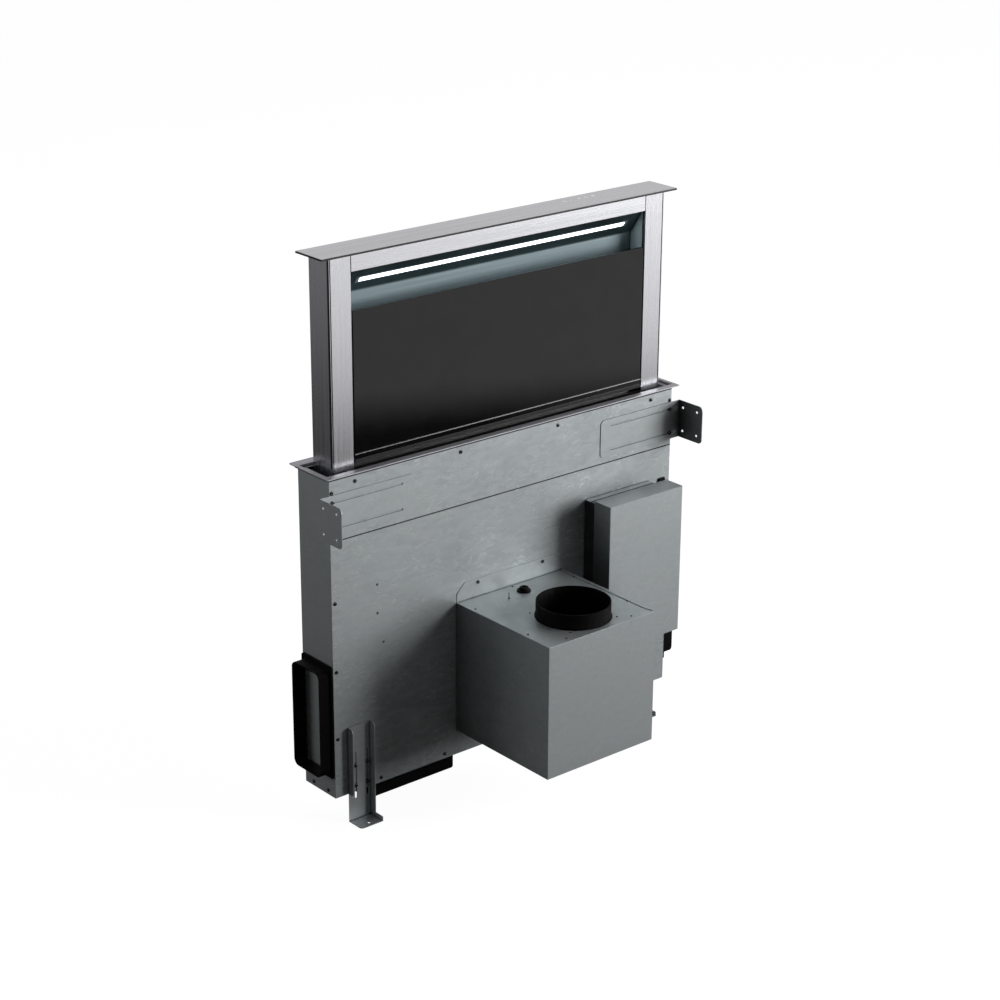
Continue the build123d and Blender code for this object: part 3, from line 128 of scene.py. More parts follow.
# ---------------------------------------------------------------- node trees
class Bench:
    """Adds nodes to one node tree and links them."""

    def __init__(self, tree: Tree) -> None:
        """Empties the tree that the nodes go into."""
        self.tree = tree
        self.tree.nodes.clear()

    @classmethod
    def on(cls, owner: Material | bpy.types.World) -> Bench:
        """Gives the bench for a material or a world."""
        owner.use_nodes = True
        return cls(owner.node_tree)

    def add(self, kind: str, inputs: dict[str | int, Any] | None = None,
            **settings: Any) -> bpy.types.Node:
        """Adds one node.

        Args:
            kind: the node's type name.
            inputs: values or sockets, as fill takes them.
            settings: the node's own properties.

        Returns:
            The new node.
        """
        node = self.tree.nodes.new(kind)
        for name, value in settings.items():
            setattr(node, name, value)
        self.fill(node, inputs or {})
        return node

    def fill(self, node: bpy.types.Node, inputs: dict[str | int, Any]) -> None:
        """Links or sets inputs of a node.

        Args:
            node: the node.
            inputs: values or sockets, by number or by name, in which an underscore stands for
                a space. A colour gets its alpha of 1.
        """
        for key, value in inputs.items():
            socket = node.inputs[key.replace("_", " ") if isinstance(key, str) else key]
            if isinstance(value, Socket):
                self.tree.links.new(value, socket)
            else:
                socket.default_value = (*value[:3], 1.0) if socket.type == "RGBA" else value

    def math(self, operation: str, first: Any, second: Any = 0.0, clamp: bool = False) -> Socket:
        """Combines two numbers or sockets; clamp keeps the result between 0 and 1."""
        return self.add("ShaderNodeMath", {0: first, 1: second}, operation=operation,
                        use_clamp=clamp).outputs[0]

    def vector(self, operation: str, first: Any, second: Any) -> Socket:
        """Combines two vectors, to a vector or, for a dot product, to a number."""
        node = self.add("ShaderNodeVectorMath", {0: first, 1: second}, operation=operation)
        return node.outputs["Value" if operation == "DOT_PRODUCT" else "Vector"]

    def noise(self, place: Socket, scale: Any = 1.0, detail: float = 2.0,
              roughness: float = 0.5) -> Socket:
        """Adds a noise pattern and gives its value, around 0.5."""
        return self.add("ShaderNodeTexNoise", {"Vector": place, "Scale": scale, "Detail": detail,
                                               "Roughness": roughness}).outputs[0]

    def blend(self, factor: Socket, first: Any, second: Any) -> Socket:
        """Mixes two colours: a factor of 0 gives the first one and 1 the second."""
        return self.add("ShaderNodeMix", {0: factor, 6: first, 7: second},
                        data_type="RGBA").outputs[2]

    def ramp(self, value: Socket, low: float, high: float, start: float = 0.0,
             end: float = 1.0) -> Socket:
        """Maps a value smoothly: start at or below low, and end at or above high."""
        return self.add("ShaderNodeMapRange", {0: value, 1: low, 2: high, 3: start, 4: end},
                        interpolation_type="SMOOTHSTEP").outputs[0]


class Group(Bench):
    """A node group: it starts with its inputs and is closed by its outputs."""

    def __init__(self, name: str, tree_kind: str = "ShaderNodeTree", **inputs: Any) -> None:
        """Makes the group and its inputs.

        Args:
            name: the group's name.
            tree_kind: the node tree's type name.
            inputs: each input's default, or its kind where it has none; an underscore stands
                for a space.
        """
        super().__init__(bpy.data.node_groups.new(name, tree_kind))
        for key, value in inputs.items():
            kinds = {str: value, int: "Int", float: "Float",
                     tuple: "Color" if key in TONES else "Vector"}
            socket = self.tree.interface.new_socket(key.replace("_", " "), in_out="INPUT",
                                                    socket_type="NodeSocket" + kinds[type(value)])
            if not isinstance(value, str):
                socket.default_value = value
        self.given = self.add("NodeGroupInput").outputs

    def close(self, **results: Socket) -> Tree:
        """Closes the group.

        Args:
            results: the sockets that become its outputs, by name.

        Returns:
            The group's tree.
        """
        kinds = {"RGBA": "Color", "VALUE": "Float", "GEOMETRY": "Geometry"}
        for name, socket in results.items():
            self.tree.interface.new_socket(name, in_out="OUTPUT",
                                           socket_type="NodeSocket" + kinds[socket.type])
        self.add("NodeGroupOutput", results)
        return self.tree


class Effect(Enum):
    """Surface effects that several finishes share, with the names of their groups."""

    SPANGLE = "galvanised_spangle"
    BRUSH = "brushed_grain"
    WEAR = "edge_wear"
    MOULD = "moulded_grain"
    SMUDGE = "handling_smudge"
    GAP = "gap_shade"


def spangle_group() -> Tree:
    """Builds ragged zinc crystals, soft clouds and clustered bright flecks.

    Returns:
        The group.
    """
    ragged, crystal_form, fleck_lift = (0.035, 0.035, 0.02), (0.55, 0.55, 1.5), 0.35
    crest, cluster, middle = (0.52, 0.68), (0.42, 0.6), 0.5
    group = Group(Effect.SPANGLE.value, Vector=ORIGIN, **TONES, Crystal_Scale=80.0,
                  Crystal_Weight=0.5, Cloud_Weight=0.6, Fleck_Weight=0.3,
                  Fleck_Stretch=(70.0, 70.0, 190.0))
    given, place = group.given, group.given["Vector"]
    jitter = group.add("ShaderNodeTexNoise", {"Vector": place, "Scale": 55.0, "Detail": 4.0})
    shift = group.vector("SUBTRACT", jitter.outputs["Color"], (middle,) * 3)
    bent = group.vector("ADD", place, group.vector("MULTIPLY", shift, ragged))
    cells = group.add("ShaderNodeTexVoronoi", {
        "Vector": group.vector("MULTIPLY", bent, crystal_form), "Scale": given["Crystal Scale"]})
    tint = group.add("ShaderNodeSeparateColor", {0: cells.outputs["Color"]}).outputs[0]
    cloud = group.noise(place, scale=9.0, detail=5.0, roughness=0.62)
    drawn = group.vector("MULTIPLY", bent, given["Fleck Stretch"])
    sharp = group.ramp(group.noise(drawn, detail=4.0, roughness=0.6), *crest)
    patch = group.ramp(group.noise(place, scale=15.0), *cluster)
    fleck = group.math("ADD", group.math("MULTIPLY", sharp, patch), fleck_lift)
    total = middle
    for value, weight in ((tint, "Crystal Weight"), (cloud, "Cloud Weight"),
                          (fleck, "Fleck Weight")):
        swing = group.math("SUBTRACT", value, middle)
        total = group.math("ADD", group.math("MULTIPLY", swing, given[weight]), total)
    mask = group.math("ADD", total, 0.0, clamp=True)
    return group.close(Color=group.blend(mask, given["Dark"], given["Light"]), Mask=mask,
                       Height=cloud)


def brush_group() -> Tree:
    """Builds fine parallel scratches, whose direction the stretch sets.

    Returns:
        The group.
    """
    broad_form, fine_share, broad_share, contrast = (0.4, 0.12, 0.12), 0.65, 0.35, (0.33, 0.67)
    group = Group(Effect.BRUSH.value, Vector=ORIGIN, Stretch=(3.0, 900.0, 900.0), **TONES)
    given = group.given
    drawn = group.vector("MULTIPLY", given["Vector"], given["Stretch"])
    fine = group.noise(drawn, detail=4.0, roughness=0.7)
    broad = group.noise(group.vector("MULTIPLY", drawn, broad_form))
    both = group.math("ADD", group.math("MULTIPLY", fine, fine_share),
                      group.math("MULTIPLY", broad, broad_share))
    mask = group.ramp(both, *contrast)
    return group.close(Color=group.blend(mask, given["Dark"], given["Light"]), Mask=mask)


def scuff_and_highlight_group() -> Tree:
    """Builds bright edges, part scuffed metal and part painted highlight, broken up by noise.

    Returns:
        The group.
    """
    bend, breaks, least = (0.02, 0.25), (0.3, 0.65), 0.25
    group = Group(Effect.WEAR.value, Vector=ORIGIN, Radius=0.8 * MM, Amount=0.5)
    given = group.given
    # painted highlight: edges found by the bevel's bent normal take a bright colour
    rounded = group.add("ShaderNodeBevel", {"Radius": given["Radius"]}, samples=4)
    flat = group.add("ShaderNodeNewGeometry").outputs["Normal"]
    level = group.vector("DOT_PRODUCT", rounded.outputs[0], flat)
    edge = group.ramp(group.math("SUBTRACT", 1.0, level), *bend)
    patchy = group.noise(given["Vector"], scale=140.0, detail=3.0)
    broken = group.math("MULTIPLY", edge, group.ramp(patchy, *breaks, least, 1.0))
    return group.close(Mask=group.math("MULTIPLY", broken, given["Amount"], clamp=True))


def painted_gap_shade_group() -> Tree:
    """Builds painted shade, with some dirt, in narrow gaps and inner corners.

    Returns:
        The group.
    """
    openness = (0.35, 0.85)
    group = Group(Effect.GAP.value, Reach=6 * MM, Amount=0.7)
    # painted shade: ambient occlusion over this reach gives the mask that darkens the colour
    seen = group.add("ShaderNodeAmbientOcclusion", {"Distance": group.given["Reach"]},
                     samples=8).outputs["AO"]
    shade = group.ramp(seen, *openness, 1.0, 0.0)
    return group.close(Mask=group.math("MULTIPLY", shade, group.given["Amount"], clamp=True))


def mould_group() -> Tree:
    """Builds fine spark-eroded grain with slow flow marks.

    Returns:
        The group.
    """
    contrast = (0.3, 0.7)
    group = Group(Effect.MOULD.value, Vector=ORIGIN, Grain_Scale=1800.0, **TONES)
    given, place = group.given, group.given["Vector"]
    flow = group.ramp(group.noise(place, scale=24.0, detail=4.0, roughness=0.6), *contrast)
    return group.close(Color=group.blend(flow, given["Dark"], given["Light"]), Mask=flow,
                       Height=group.noise(place, given["Grain Scale"]))


def smudge_group() -> Tree:
    """Builds patches of a hand-wiped surface, for roughness.

    Returns:
        The group.
    """
    wipe_form, contrast = (5.0, 5.0, 14.0), (0.4, 0.7)
    group = Group(Effect.SMUDGE.value, Vector=ORIGIN, Low=0.05, High=0.1)
    given = group.given
    wiped = group.vector("MULTIPLY", given["Vector"], wipe_form)
    mask = group.ramp(group.noise(wiped, detail=5.0, roughness=0.6), *contrast)
    spread = group.math("SUBTRACT", given["High"], given["Low"])
    return group.close(Roughness=group.math("ADD", group.math("MULTIPLY", mask, spread),
                                            given["Low"]))


MAKERS = {Effect.SPANGLE: spangle_group, Effect.BRUSH: brush_group, Effect.WEAR: scuff_and_highlight_group,
          Effect.MOULD: mould_group, Effect.SMUDGE: smudge_group, Effect.GAP: painted_gap_shade_group}


# ---------------------------------------------------------------- finishes
class Grain(Enum):
    """Direction of a brushed finish, as pattern units for each metre along X, Y and Z."""

    ALONG_X = (4.0, 1100.0, 1100.0)
    ALONG_Z = (1100.0, 1100.0, 4.0)


class Surface:
    """One material: its bench, its coordinates and its Principled shader."""

    def __init__(self, name: str) -> None:
        """Makes the material with its shader.

        Args:
            name: the material's name.
        """
        self.material = bpy.data.materials.new(name)
        self.bench = Bench.on(self.material)
        self.place = self.bench.add("ShaderNodeTexCoord").outputs["Object"]
        self.shader = self.bench.add("ShaderNodeBsdfPrincipled")
        self.bench.add("ShaderNodeOutputMaterial", {"Surface": self.shader.outputs[0]})

    def effect(self, effect: Effect, **values: Any) -> bpy.types.NodeOutputs:
        """Puts a shared effect in the material, on the object's coordinates.

        Args:
            effect: which effect; its group is built on first use.
            values: its inputs, by name.

        Returns:
            Its outputs.
        """
        group = bpy.data.node_groups.get(effect.value) or MAKERS[effect]()
        node = self.bench.add("ShaderNodeGroup", values, node_tree=group)
        if "Vector" in node.inputs:
            self.bench.fill(node, {"Vector": self.place})
        return node.outputs

    def set(self, **inputs: Any) -> None:
        """Sets or feeds inputs of the shader; an underscore stands for a space."""
        self.bench.fill(self.shader, inputs)

    def roughen(self, mask: Socket, start: float, end: float) -> None:
        """Sets the roughness: start where the mask is 0, and end where it is 1."""
        self.set(Roughness=self.bench.ramp(mask, 0.0, 1.0, start, end))

    def bump(self, height: Socket, strength: float, distance: float) -> None:
        """Feeds a height into the shader's normal."""
        self.set(Normal=self.bench.add("ShaderNodeBump", {
            "Height": height, "Strength": strength, "Distance": distance}).outputs[0])


@dataclass(frozen=True)
class Finish:
    """A finish with a pattern between two tones."""

    name: str
    light: Colour
    dark: Colour
    smooth: float = 0.38
    rough: float = 0.55

    def material(self) -> Material:
        """Builds the material.

        Returns:
            The material.
        """
        surface = Surface(self.name)
        self.lay(surface)
        return surface.material

    def lay(self, surface: Surface) -> None:
        """Lays the finish on a new surface; each kind of finish has its own way."""
        raise NotImplementedError


@dataclass(frozen=True)
class Metal(Finish):
    """A metal with scuffed edges that carry a painted highlight, and painted shade in its gaps."""

    metallic: float = 1.0
    wear: float = 0.5
    scuff_highlight_reach: float = 0.6 * MM
    scuffed_and_highlit: Colour = (0.85, 0.86, 0.87)
    painted_shade_depth: float = 0.95
    painted_shade_reach: float = 6 * MM
    gap: Colour = (0.05, 0.045, 0.045)

    def _age(self, surface: Surface, colour: Socket, mask: Socket) -> None:
        """Scuffs the edges and paints a highlight on them, paints shade into the gaps and sets
        colour, roughness and metal.

        Args:
            surface: the material to work on.
            colour: the clean metal's colour.
            mask: its pattern, smooth at 1 and rough at 0.
        """
        scuff_and_highlight_mask = surface.effect(Effect.WEAR, Radius=self.scuff_highlight_reach, Amount=self.wear)["Mask"]
        shade = surface.effect(Effect.GAP, Reach=self.painted_shade_reach, Amount=self.painted_shade_depth)["Mask"]
        # painted highlight and scuffing: the edges blend towards a bright colour
        scuffed_and_highlit_colour = surface.bench.blend(scuff_and_highlight_mask, colour, self.scuffed_and_highlit)
        # painted shade: in gaps and inner corners the colour falls to the dark shade colour
        surface.set(Base_Color=surface.bench.blend(shade, scuffed_and_highlit_colour, self.gap),
                    Metallic=self.metallic)
        surface.roughen(mask, self.rough, self.smooth)


@dataclass(frozen=True)
class SpangledZinc(Metal):
    """Galvanised sheet: cloudy satin zinc with crystals, and painted shade in wide nooks."""

    light: Colour = (0.66, 0.70, 0.71)
    dark: Colour = (0.42, 0.455, 0.465)
    smooth: float = 0.40
    metallic: float = 0.55
    wear: float = 0.35
    scuff_highlight_reach: float = 0.7 * MM
    scuffed_and_highlit: Colour = (0.80, 0.83, 0.84)
    painted_shade_depth: float = 0.9
    gap: Colour = (0.03, 0.035, 0.034)
    crystals: float = 85.0
    crystal_weight: float = 0.35
    cloud_weight: float = 1.0
    fleck_weight: float = 0.85
    fleck_stretch: Point = (75.0, 75.0, 200.0)
    nook_shade_reach: float = 110 * MM
    painted_nook_shade: float = 0.0
    dents: float = 0.25
    dent_deep: float = 1.2 * MM

    def lay(self, surface: Surface) -> None:
        """Lays crystals, clouds, flecks and painted shade in wide nooks.

        Args:
            surface: the material to work on.
        """
        zinc = surface.effect(
            Effect.SPANGLE, Light=self.light, Dark=self.dark, Crystal_Scale=self.crystals,
            Crystal_Weight=self.crystal_weight, Cloud_Weight=self.cloud_weight,
            Fleck_Weight=self.fleck_weight, Fleck_Stretch=self.fleck_stretch)
        # painted shade: occlusion over a wide reach darkens faces near walls, as a contact shadow
        nook_shade_mask = surface.effect(Effect.GAP, Reach=self.nook_shade_reach, Amount=self.painted_nook_shade)["Mask"]
        self._age(surface, surface.bench.blend(nook_shade_mask, zinc["Color"], self.gap), zinc["Mask"])
        surface.bump(zinc["Height"], self.dents, self.dent_deep)


@dataclass(frozen=True)
class BrushedMetal(Metal):
    """Brushed, milled or rolled metal with a grain in one direction."""

    smooth: float = 0.24
    rough: float = 0.38
    grain: Grain = Grain.ALONG_X
    scratches: float = 0.12
    scratch_deep: float = 0.05 * MM

    def lay(self, surface: Surface) -> None:
        """Lays the brushing.

        Args:
            surface: the material to work on.
        """
        brush = surface.effect(Effect.BRUSH, Stretch=self.grain.value, Light=self.light,
                               Dark=self.dark)
        self._age(surface, brush["Color"], brush["Mask"])
        surface.bump(brush["Mask"], self.scratches, self.scratch_deep)


@dataclass(frozen=True)
class MouldedPlastic(Finish):
    """Moulded plastic, foam or paint with a fine grain."""

    grain: float = 1800.0
    depth: float = 0.05 * MM
    relief: float = 0.3
    coat: float = 0.0
    glow: float = 0.0
    shine: float = 0.5

    def lay(self, surface: Surface) -> None:
        """Lays the grain.

        Args:
            surface: the material to work on.
        """
        mould = surface.effect(Effect.MOULD, Grain_Scale=self.grain, Light=self.light,
                               Dark=self.dark)
        surface.set(Base_Color=mould["Color"], Coat_Weight=self.coat, Emission_Color=self.light,
                    Emission_Strength=self.glow, Specular_IOR_Level=self.shine)
        surface.roughen(mould["Mask"], self.rough, self.smooth)
        surface.bump(mould["Height"], self.relief, self.depth)


@dataclass(frozen=True)
class BlackGlass(Finish):
    """Opaque black glass, enamelled behind, with faint wiping marks."""

    name: str = "black_glass"
    light: Colour = (0.006, 0.006, 0.0065)
    dark: Colour = (0.002, 0.002, 0.0022)
    smooth: float = 0.03
    rough: float = 0.09
    ior: float = 1.45

    def lay(self, surface: Surface) -> None:
        """Lays the enamel and the wiping marks.

        Args:
            surface: the material to work on.
        """
        mould = surface.effect(Effect.MOULD, Light=self.light, Dark=self.dark)
        smudge = surface.effect(Effect.SMUDGE, Low=self.smooth, High=self.rough)
        surface.set(Base_Color=mould["Color"], Roughness=smudge["Roughness"], IOR=self.ior)


@dataclass(frozen=True)
class LampLens(Finish):
    """Opal lens, lit from behind by a row of lamps."""

    name: str = "lamp_lens"
    light: Colour = (0.85, 0.86, 0.86)
    dark: Colour = (0.7905, 0.7998, 0.7998)
    haze: Pair = (0.4, 0.5)
    glow: Colour = (0.88, 0.96, 1.0)
    painted_soft_highlight: Colour = (0.24, 0.30, 0.32)
    strength: float = 9.0
    between: float = 0.82
    pitch: float = 25.0 * MM
    slope: Point = (0.0, 0.617, -0.787)
    line: float = -280.93 * MM
    upper: Pair = mm(-7.0, -2.2)
    lower: Pair = mm(4.0, 5.0)
    ends: Pair = mm(328.0, 331.0)

    def lay(self, surface: Surface) -> None:
        """Lays the lens, lit between its upper and lower line and its two ends; beyond them it
        takes a dim teal painted highlight.

        Args:
            surface: the material to work on.
        """
        bench = surface.bench
        mould = surface.effect(Effect.MOULD, Light=self.light, Dark=self.dark)
        along = bench.add("ShaderNodeSeparateXYZ", {0: surface.place}).outputs[0]
        wave = bench.math("COSINE", bench.math("MULTIPLY", along, 2 * math.pi / self.pitch))
        across = bench.math("SUBTRACT", bench.vector("DOT_PRODUCT", surface.place, self.slope),
                            self.line)
        lit = bench.ramp(across, *self.upper)
        for value, fade in ((across, self.lower), (bench.math("ABSOLUTE", along), self.ends)):
            lit = bench.math("MULTIPLY", lit, bench.ramp(value, *fade, 1.0, 0.0))
        spots = bench.math("MULTIPLY", bench.ramp(wave, -1.0, 1.0, self.between, 1.0), lit)
        # painted highlight: outside the lit band the lens is coloured a dim teal
        surface.set(Base_Color=bench.blend(lit, self.painted_soft_highlight, mould["Color"]),
                    Emission_Color=bench.blend(spots, BLACK, self.glow),
                    Emission_Strength=self.strength)
        surface.roughen(mould["Mask"], *self.haze)


@dataclass(frozen=True)
class CircuitBoard(Finish):
    """Green solder mask with pale tracks, and dark parts above it."""

    name: str = "board_green"
    light: Colour = (0.026, 0.156, 0.065)
    dark: Colour = (0.02, 0.12, 0.05)
    haze: Pair = (0.3, 0.45)
    track: Colour = (0.06, 0.24, 0.10)
    parts: Colour = (0.03, 0.03, 0.035)
    track_scale: float = 90.0
    track_wide: float = 0.06
    face_y: float = -61.5 * MM
    parts_above: Pair = mm(0.8, 0.4)

    def lay(self, surface: Surface) -> None:
        """Lays the tracks, and darkens what stands above the board's face.

        Args:
            surface: the material to work on.
        """
        bench = surface.bench
        turned = bench.add("ShaderNodeMapping", {"Vector": surface.place,
                                                 "Rotation": (math.pi / 2, 0.0, 0.0)})
        tracks = bench.add("ShaderNodeTexBrick", {
            "Vector": turned.outputs[0], "Color1": self.dark, "Color2": self.light,
            "Mortar": self.track, "Scale": self.track_scale, "Mortar Size": self.track_wide})
        depth = bench.add("ShaderNodeSeparateXYZ", {0: surface.place}).outputs[1]
        above = bench.ramp(depth, *(self.face_y - rise for rise in self.parts_above), 1.0, 0.0)
        surface.set(Base_Color=bench.blend(above, tracks.outputs["Color"], self.parts))
        surface.roughen(surface.effect(Effect.MOULD)["Mask"], *self.haze)


class FinishRack:
    """All the finishes of the vent, built on first use."""

    def __init__(self) -> None:
        """Lists the finishes; none is built yet."""
        pale, soft = (0.68, 0.68, 0.71), (0.58, 0.58, 0.61)
        steel, dim = (0.50, 0.50, 0.51), (0.38, 0.38, 0.39)
        upright = Grain.ALONG_Z
        fold = SpangledZinc("zinc_fold", crystal_weight=0.15, cloud_weight=0.8, fleck_weight=0.3,
                            fleck_stretch=(170.0, 170.0, 40.0))
        listed = (
            SpangledZinc("zinc_sheet"),
            fold,
            # painted shade: darker copies of the folded zinc for the boxes and the right bracket
            replace(fold, name="zinc_box", nook_shade_reach=200 * MM, painted_nook_shade=0.9),
            replace(fold, name="zinc_bracket", nook_shade_reach=300 * MM, painted_nook_shade=1.0),
            BrushedMetal("steel_along", pale, soft, 0.2, 0.3),
            BrushedMetal("steel_upright", pale, soft, 0.2, 0.3, grain=upright),
            # painted light: teal-toned copies of the steel; the cheeks pale as if lit by the lamp,
            # the canopy and bezel darker as if in shade
            BrushedMetal("canopy_steel", (0.25, 0.31, 0.33), (0.21, 0.26, 0.28), 0.5, 0.62),
            BrushedMetal("cheek_steel", (0.80, 0.95, 0.98), (0.70, 0.84, 0.88), 0.4, 0.55,
                         metallic=0.0, grain=upright),
            BrushedMetal("bezel_steel", (0.10, 0.145, 0.155), (0.07, 0.105, 0.115), 0.3, 0.45,
                         metallic=0.8, wear=0.1),
            BrushedMetal("flange_steel", soft, (0.48, 0.48, 0.505), 0.5, 0.62),
            BrushedMetal("dark_steel", (0.06, 0.056, 0.054), (0.035, 0.033, 0.032), 0.3, 0.42,
                         wear=0.1),
            BrushedMetal("filter_metal", (0.66, 0.67, 0.68), (0.5, 0.51, 0.52), grain=upright),
            BrushedMetal("trim_metal", (0.84, 0.84, 0.85), (0.74, 0.74, 0.75), 0.16, 0.26),
            BrushedMetal("machined_steel", steel, dim, rough=0.34, grain=upright),
            BrushedMetal("turned_steel", steel, dim, rough=0.3),
            BrushedMetal("screw_steel", (0.09, 0.09, 0.09), (0.05, 0.05, 0.05), 0.16, 0.26,
                         wear=0.2, grain=upright),
            BlackGlass(),
            MouldedPlastic("black_plastic", (0.006, 0.0055, 0.005), (0.003, 0.003, 0.003),
                           0.42, 0.6),
            MouldedPlastic("duct_plastic", (0.003, 0.0022, 0.0019), (0.0016, 0.0013, 0.0011),
                           0.5, 0.68, shine=0.1),
            MouldedPlastic("white_plastic", (0.74, 0.74, 0.71), (0.66, 0.66, 0.63)),
            MouldedPlastic("foam_seal", (0.03, 0.03, 0.03), (0.014, 0.014, 0.014), 0.85, 0.95,
                           grain=700.0, depth=0.3 * MM),
            MouldedPlastic("motor_metal", (0.085, 0.088, 0.092), (0.06, 0.062, 0.065),
                           coat=0.25),
            # painted light: the printed symbols glow so that they read pale
            MouldedPlastic("touch_print", (0.97, 0.97, 0.98), (0.92, 0.92, 0.93), glow=0.5),
            LampLens(),
            CircuitBoard(),
        )
        self.listed: dict[str, Finish] = {finish.name: finish for finish in listed}
        self.built: dict[str, Material] = {}

    def get(self, name: str) -> Material:
        """Gives a finish's material, built on first use."""
        if name not in self.built:
            self.built[name] = self.listed[name].material()
        return self.built[name]


# ---------------------------------------------------------------- mesh helpers
def new_object(name: str, mesh: bpy.types.Mesh) -> Thing:
    """Puts a mesh in the scene.

    Args:
        name: the object's name.
        mesh: its mesh.

    Returns:
        The object.
    """
    made = bpy.data.objects.new(name, mesh)
    bpy.context.scene.collection.objects.link(made)
    return made


def from_bmesh(name: str, work: Shape) -> Thing:
    """Turns a bmesh into an object.

    Args:
        name: the object's name.
        work: the bmesh, which is freed.

    Returns:
        The object, with its normals outward and its blunt edges shaded smooth.
    """
    bmesh.ops.recalc_face_normals(work, faces=work.faces)
    for edge in work.edges:
        edge.smooth = edge.calc_face_angle(math.pi) < SMOOTH_BELOW
    for face in work.faces:
        face.smooth = True
    mesh = bpy.data.meshes.new(name)
    work.to_mesh(mesh)
    work.free()
    return new_object(name, mesh)


def block(work: Shape, low: Point, high: Point, turn: float = 0.0) -> None:
    """Adds a block between two corners, turned about its own vertical axis.

    Args:
        work: the bmesh to add to.
        low: the lowest corner.
        high: the highest corner.
        turn: the angle in degrees.
    """
    size = Vector(high) - Vector(low)
    place = (Matrix.Translation((Vector(low) + Vector(high)) / 2)
             @ Matrix.Rotation(math.radians(turn), 4, "Z") @ Matrix.Diagonal((*size, 1.0)))
    bmesh.ops.create_cube(work, size=1.0, matrix=place)


def blocks(name: str, corners: list[tuple[Point, Point]]) -> Thing:
    """Makes one object of blocks.

    Args:
        name: the object's name.
        corners: the lowest and the highest corner of each block.

    Returns:
        The object.
    """
    work = bmesh.new()
    for low, high in corners:
        block(work, low, high)
    return from_bmesh(name, work)


def skin(work: Shape, rings: list[list[Point]], closed: bool = False) -> None:
    """Adds a solid through rings of corners.

    Args:
        work: the bmesh to add to.
        rings: the corners of each ring, in the same order all along.
        closed: joins the last ring to the first one, in place of two flat ends.
    """
    rows = [[work.verts.new(corner) for corner in ring] for ring in rings]
    if not closed:
        work.faces.new(rows[0])
        work.faces.new(reversed(rows[-1]))
    for near, far in zip(rows, rows[1:] + (rows[:1] if closed else [])):
        for i, corner in enumerate(near):
            j = (i + 1) % len(near)
            work.faces.new((corner, near[j], far[j], far[i]))


def prisms(name: str, ends: list[tuple[list[Point], Point]]) -> Thing:
    """Makes one object of straight prisms.

    Args:
        name: the object's name.
        ends: for each prism, the corners of one end and the way to the other.

    Returns:
        The object.
    """
    work = bmesh.new()
    for outline, path in ends:
        skin(work, [outline, [Vector(corner) + Vector(path) for corner in outline]])
    return from_bmesh(name, work)


def lathe(work: Shape, profile: Outline, sides: int) -> None:
    """Adds a solid of revolution about Z.

    Args:
        work: the bmesh to add to.
        profile: (radius, height) points; it begins and ends on the axis.
        sides: the number of faces around.
    """
    angles = [2 * math.pi * i / sides for i in range(sides)]
    rings = [[work.verts.new((radius * math.cos(a), radius * math.sin(a), height))
              for a in (angles if radius else angles[:1])] for radius, height in profile]
    for lower, upper in zip(rings, rings[1:]):
        for i in range(sides):
            j = (i + 1) % sides
            corners = [lower[i % len(lower)], lower[j % len(lower)], upper[j % len(upper)],
                       upper[i % len(upper)]]
            work.faces.new(list(dict.fromkeys(corners)))


def arc_band(work: Shape, centre: Point, radii: Pair, span: Pair, thick: float,
             steps: int = 20) -> None:
    """Adds a flat band that follows an arc in the XY plane.

    Args:
        work: the bmesh to add to.
        centre: the arc's centre, on the band's underside.
        radii: the inner and the outer radius.
        span: the first and the last angle in degrees.
        thick: the band's height.
        steps: the number of pieces along the arc.
    """
    (inner, outer), (start, end) = radii, span
    closed = end - start >= 360
    rings = []
    for i in range(steps if closed else steps + 1):
        angle = math.radians(start + (end - start) * i / steps)
        rings.append([Vector(centre) + Vector((r * math.cos(angle), r * math.sin(angle), z))
                      for r, z in ((inner, 0), (outer, 0), (outer, thick), (inner, thick))])
    skin(work, rings, closed)


def evaluated_copy(name: str, source: Thing) -> Thing:
    """Turns an object with live modifiers into a plain mesh object; the source is removed.

    Args:
        name: the new object's name.
        source: the object with its modifiers.

    Returns:
        The plain object.
    """
    graph = bpy.context.evaluated_depsgraph_get()
    mesh = bpy.data.meshes.new_from_object(source.evaluated_get(graph))
    mesh.name = name
    bpy.data.objects.remove(source)
    return new_object(name, mesh)


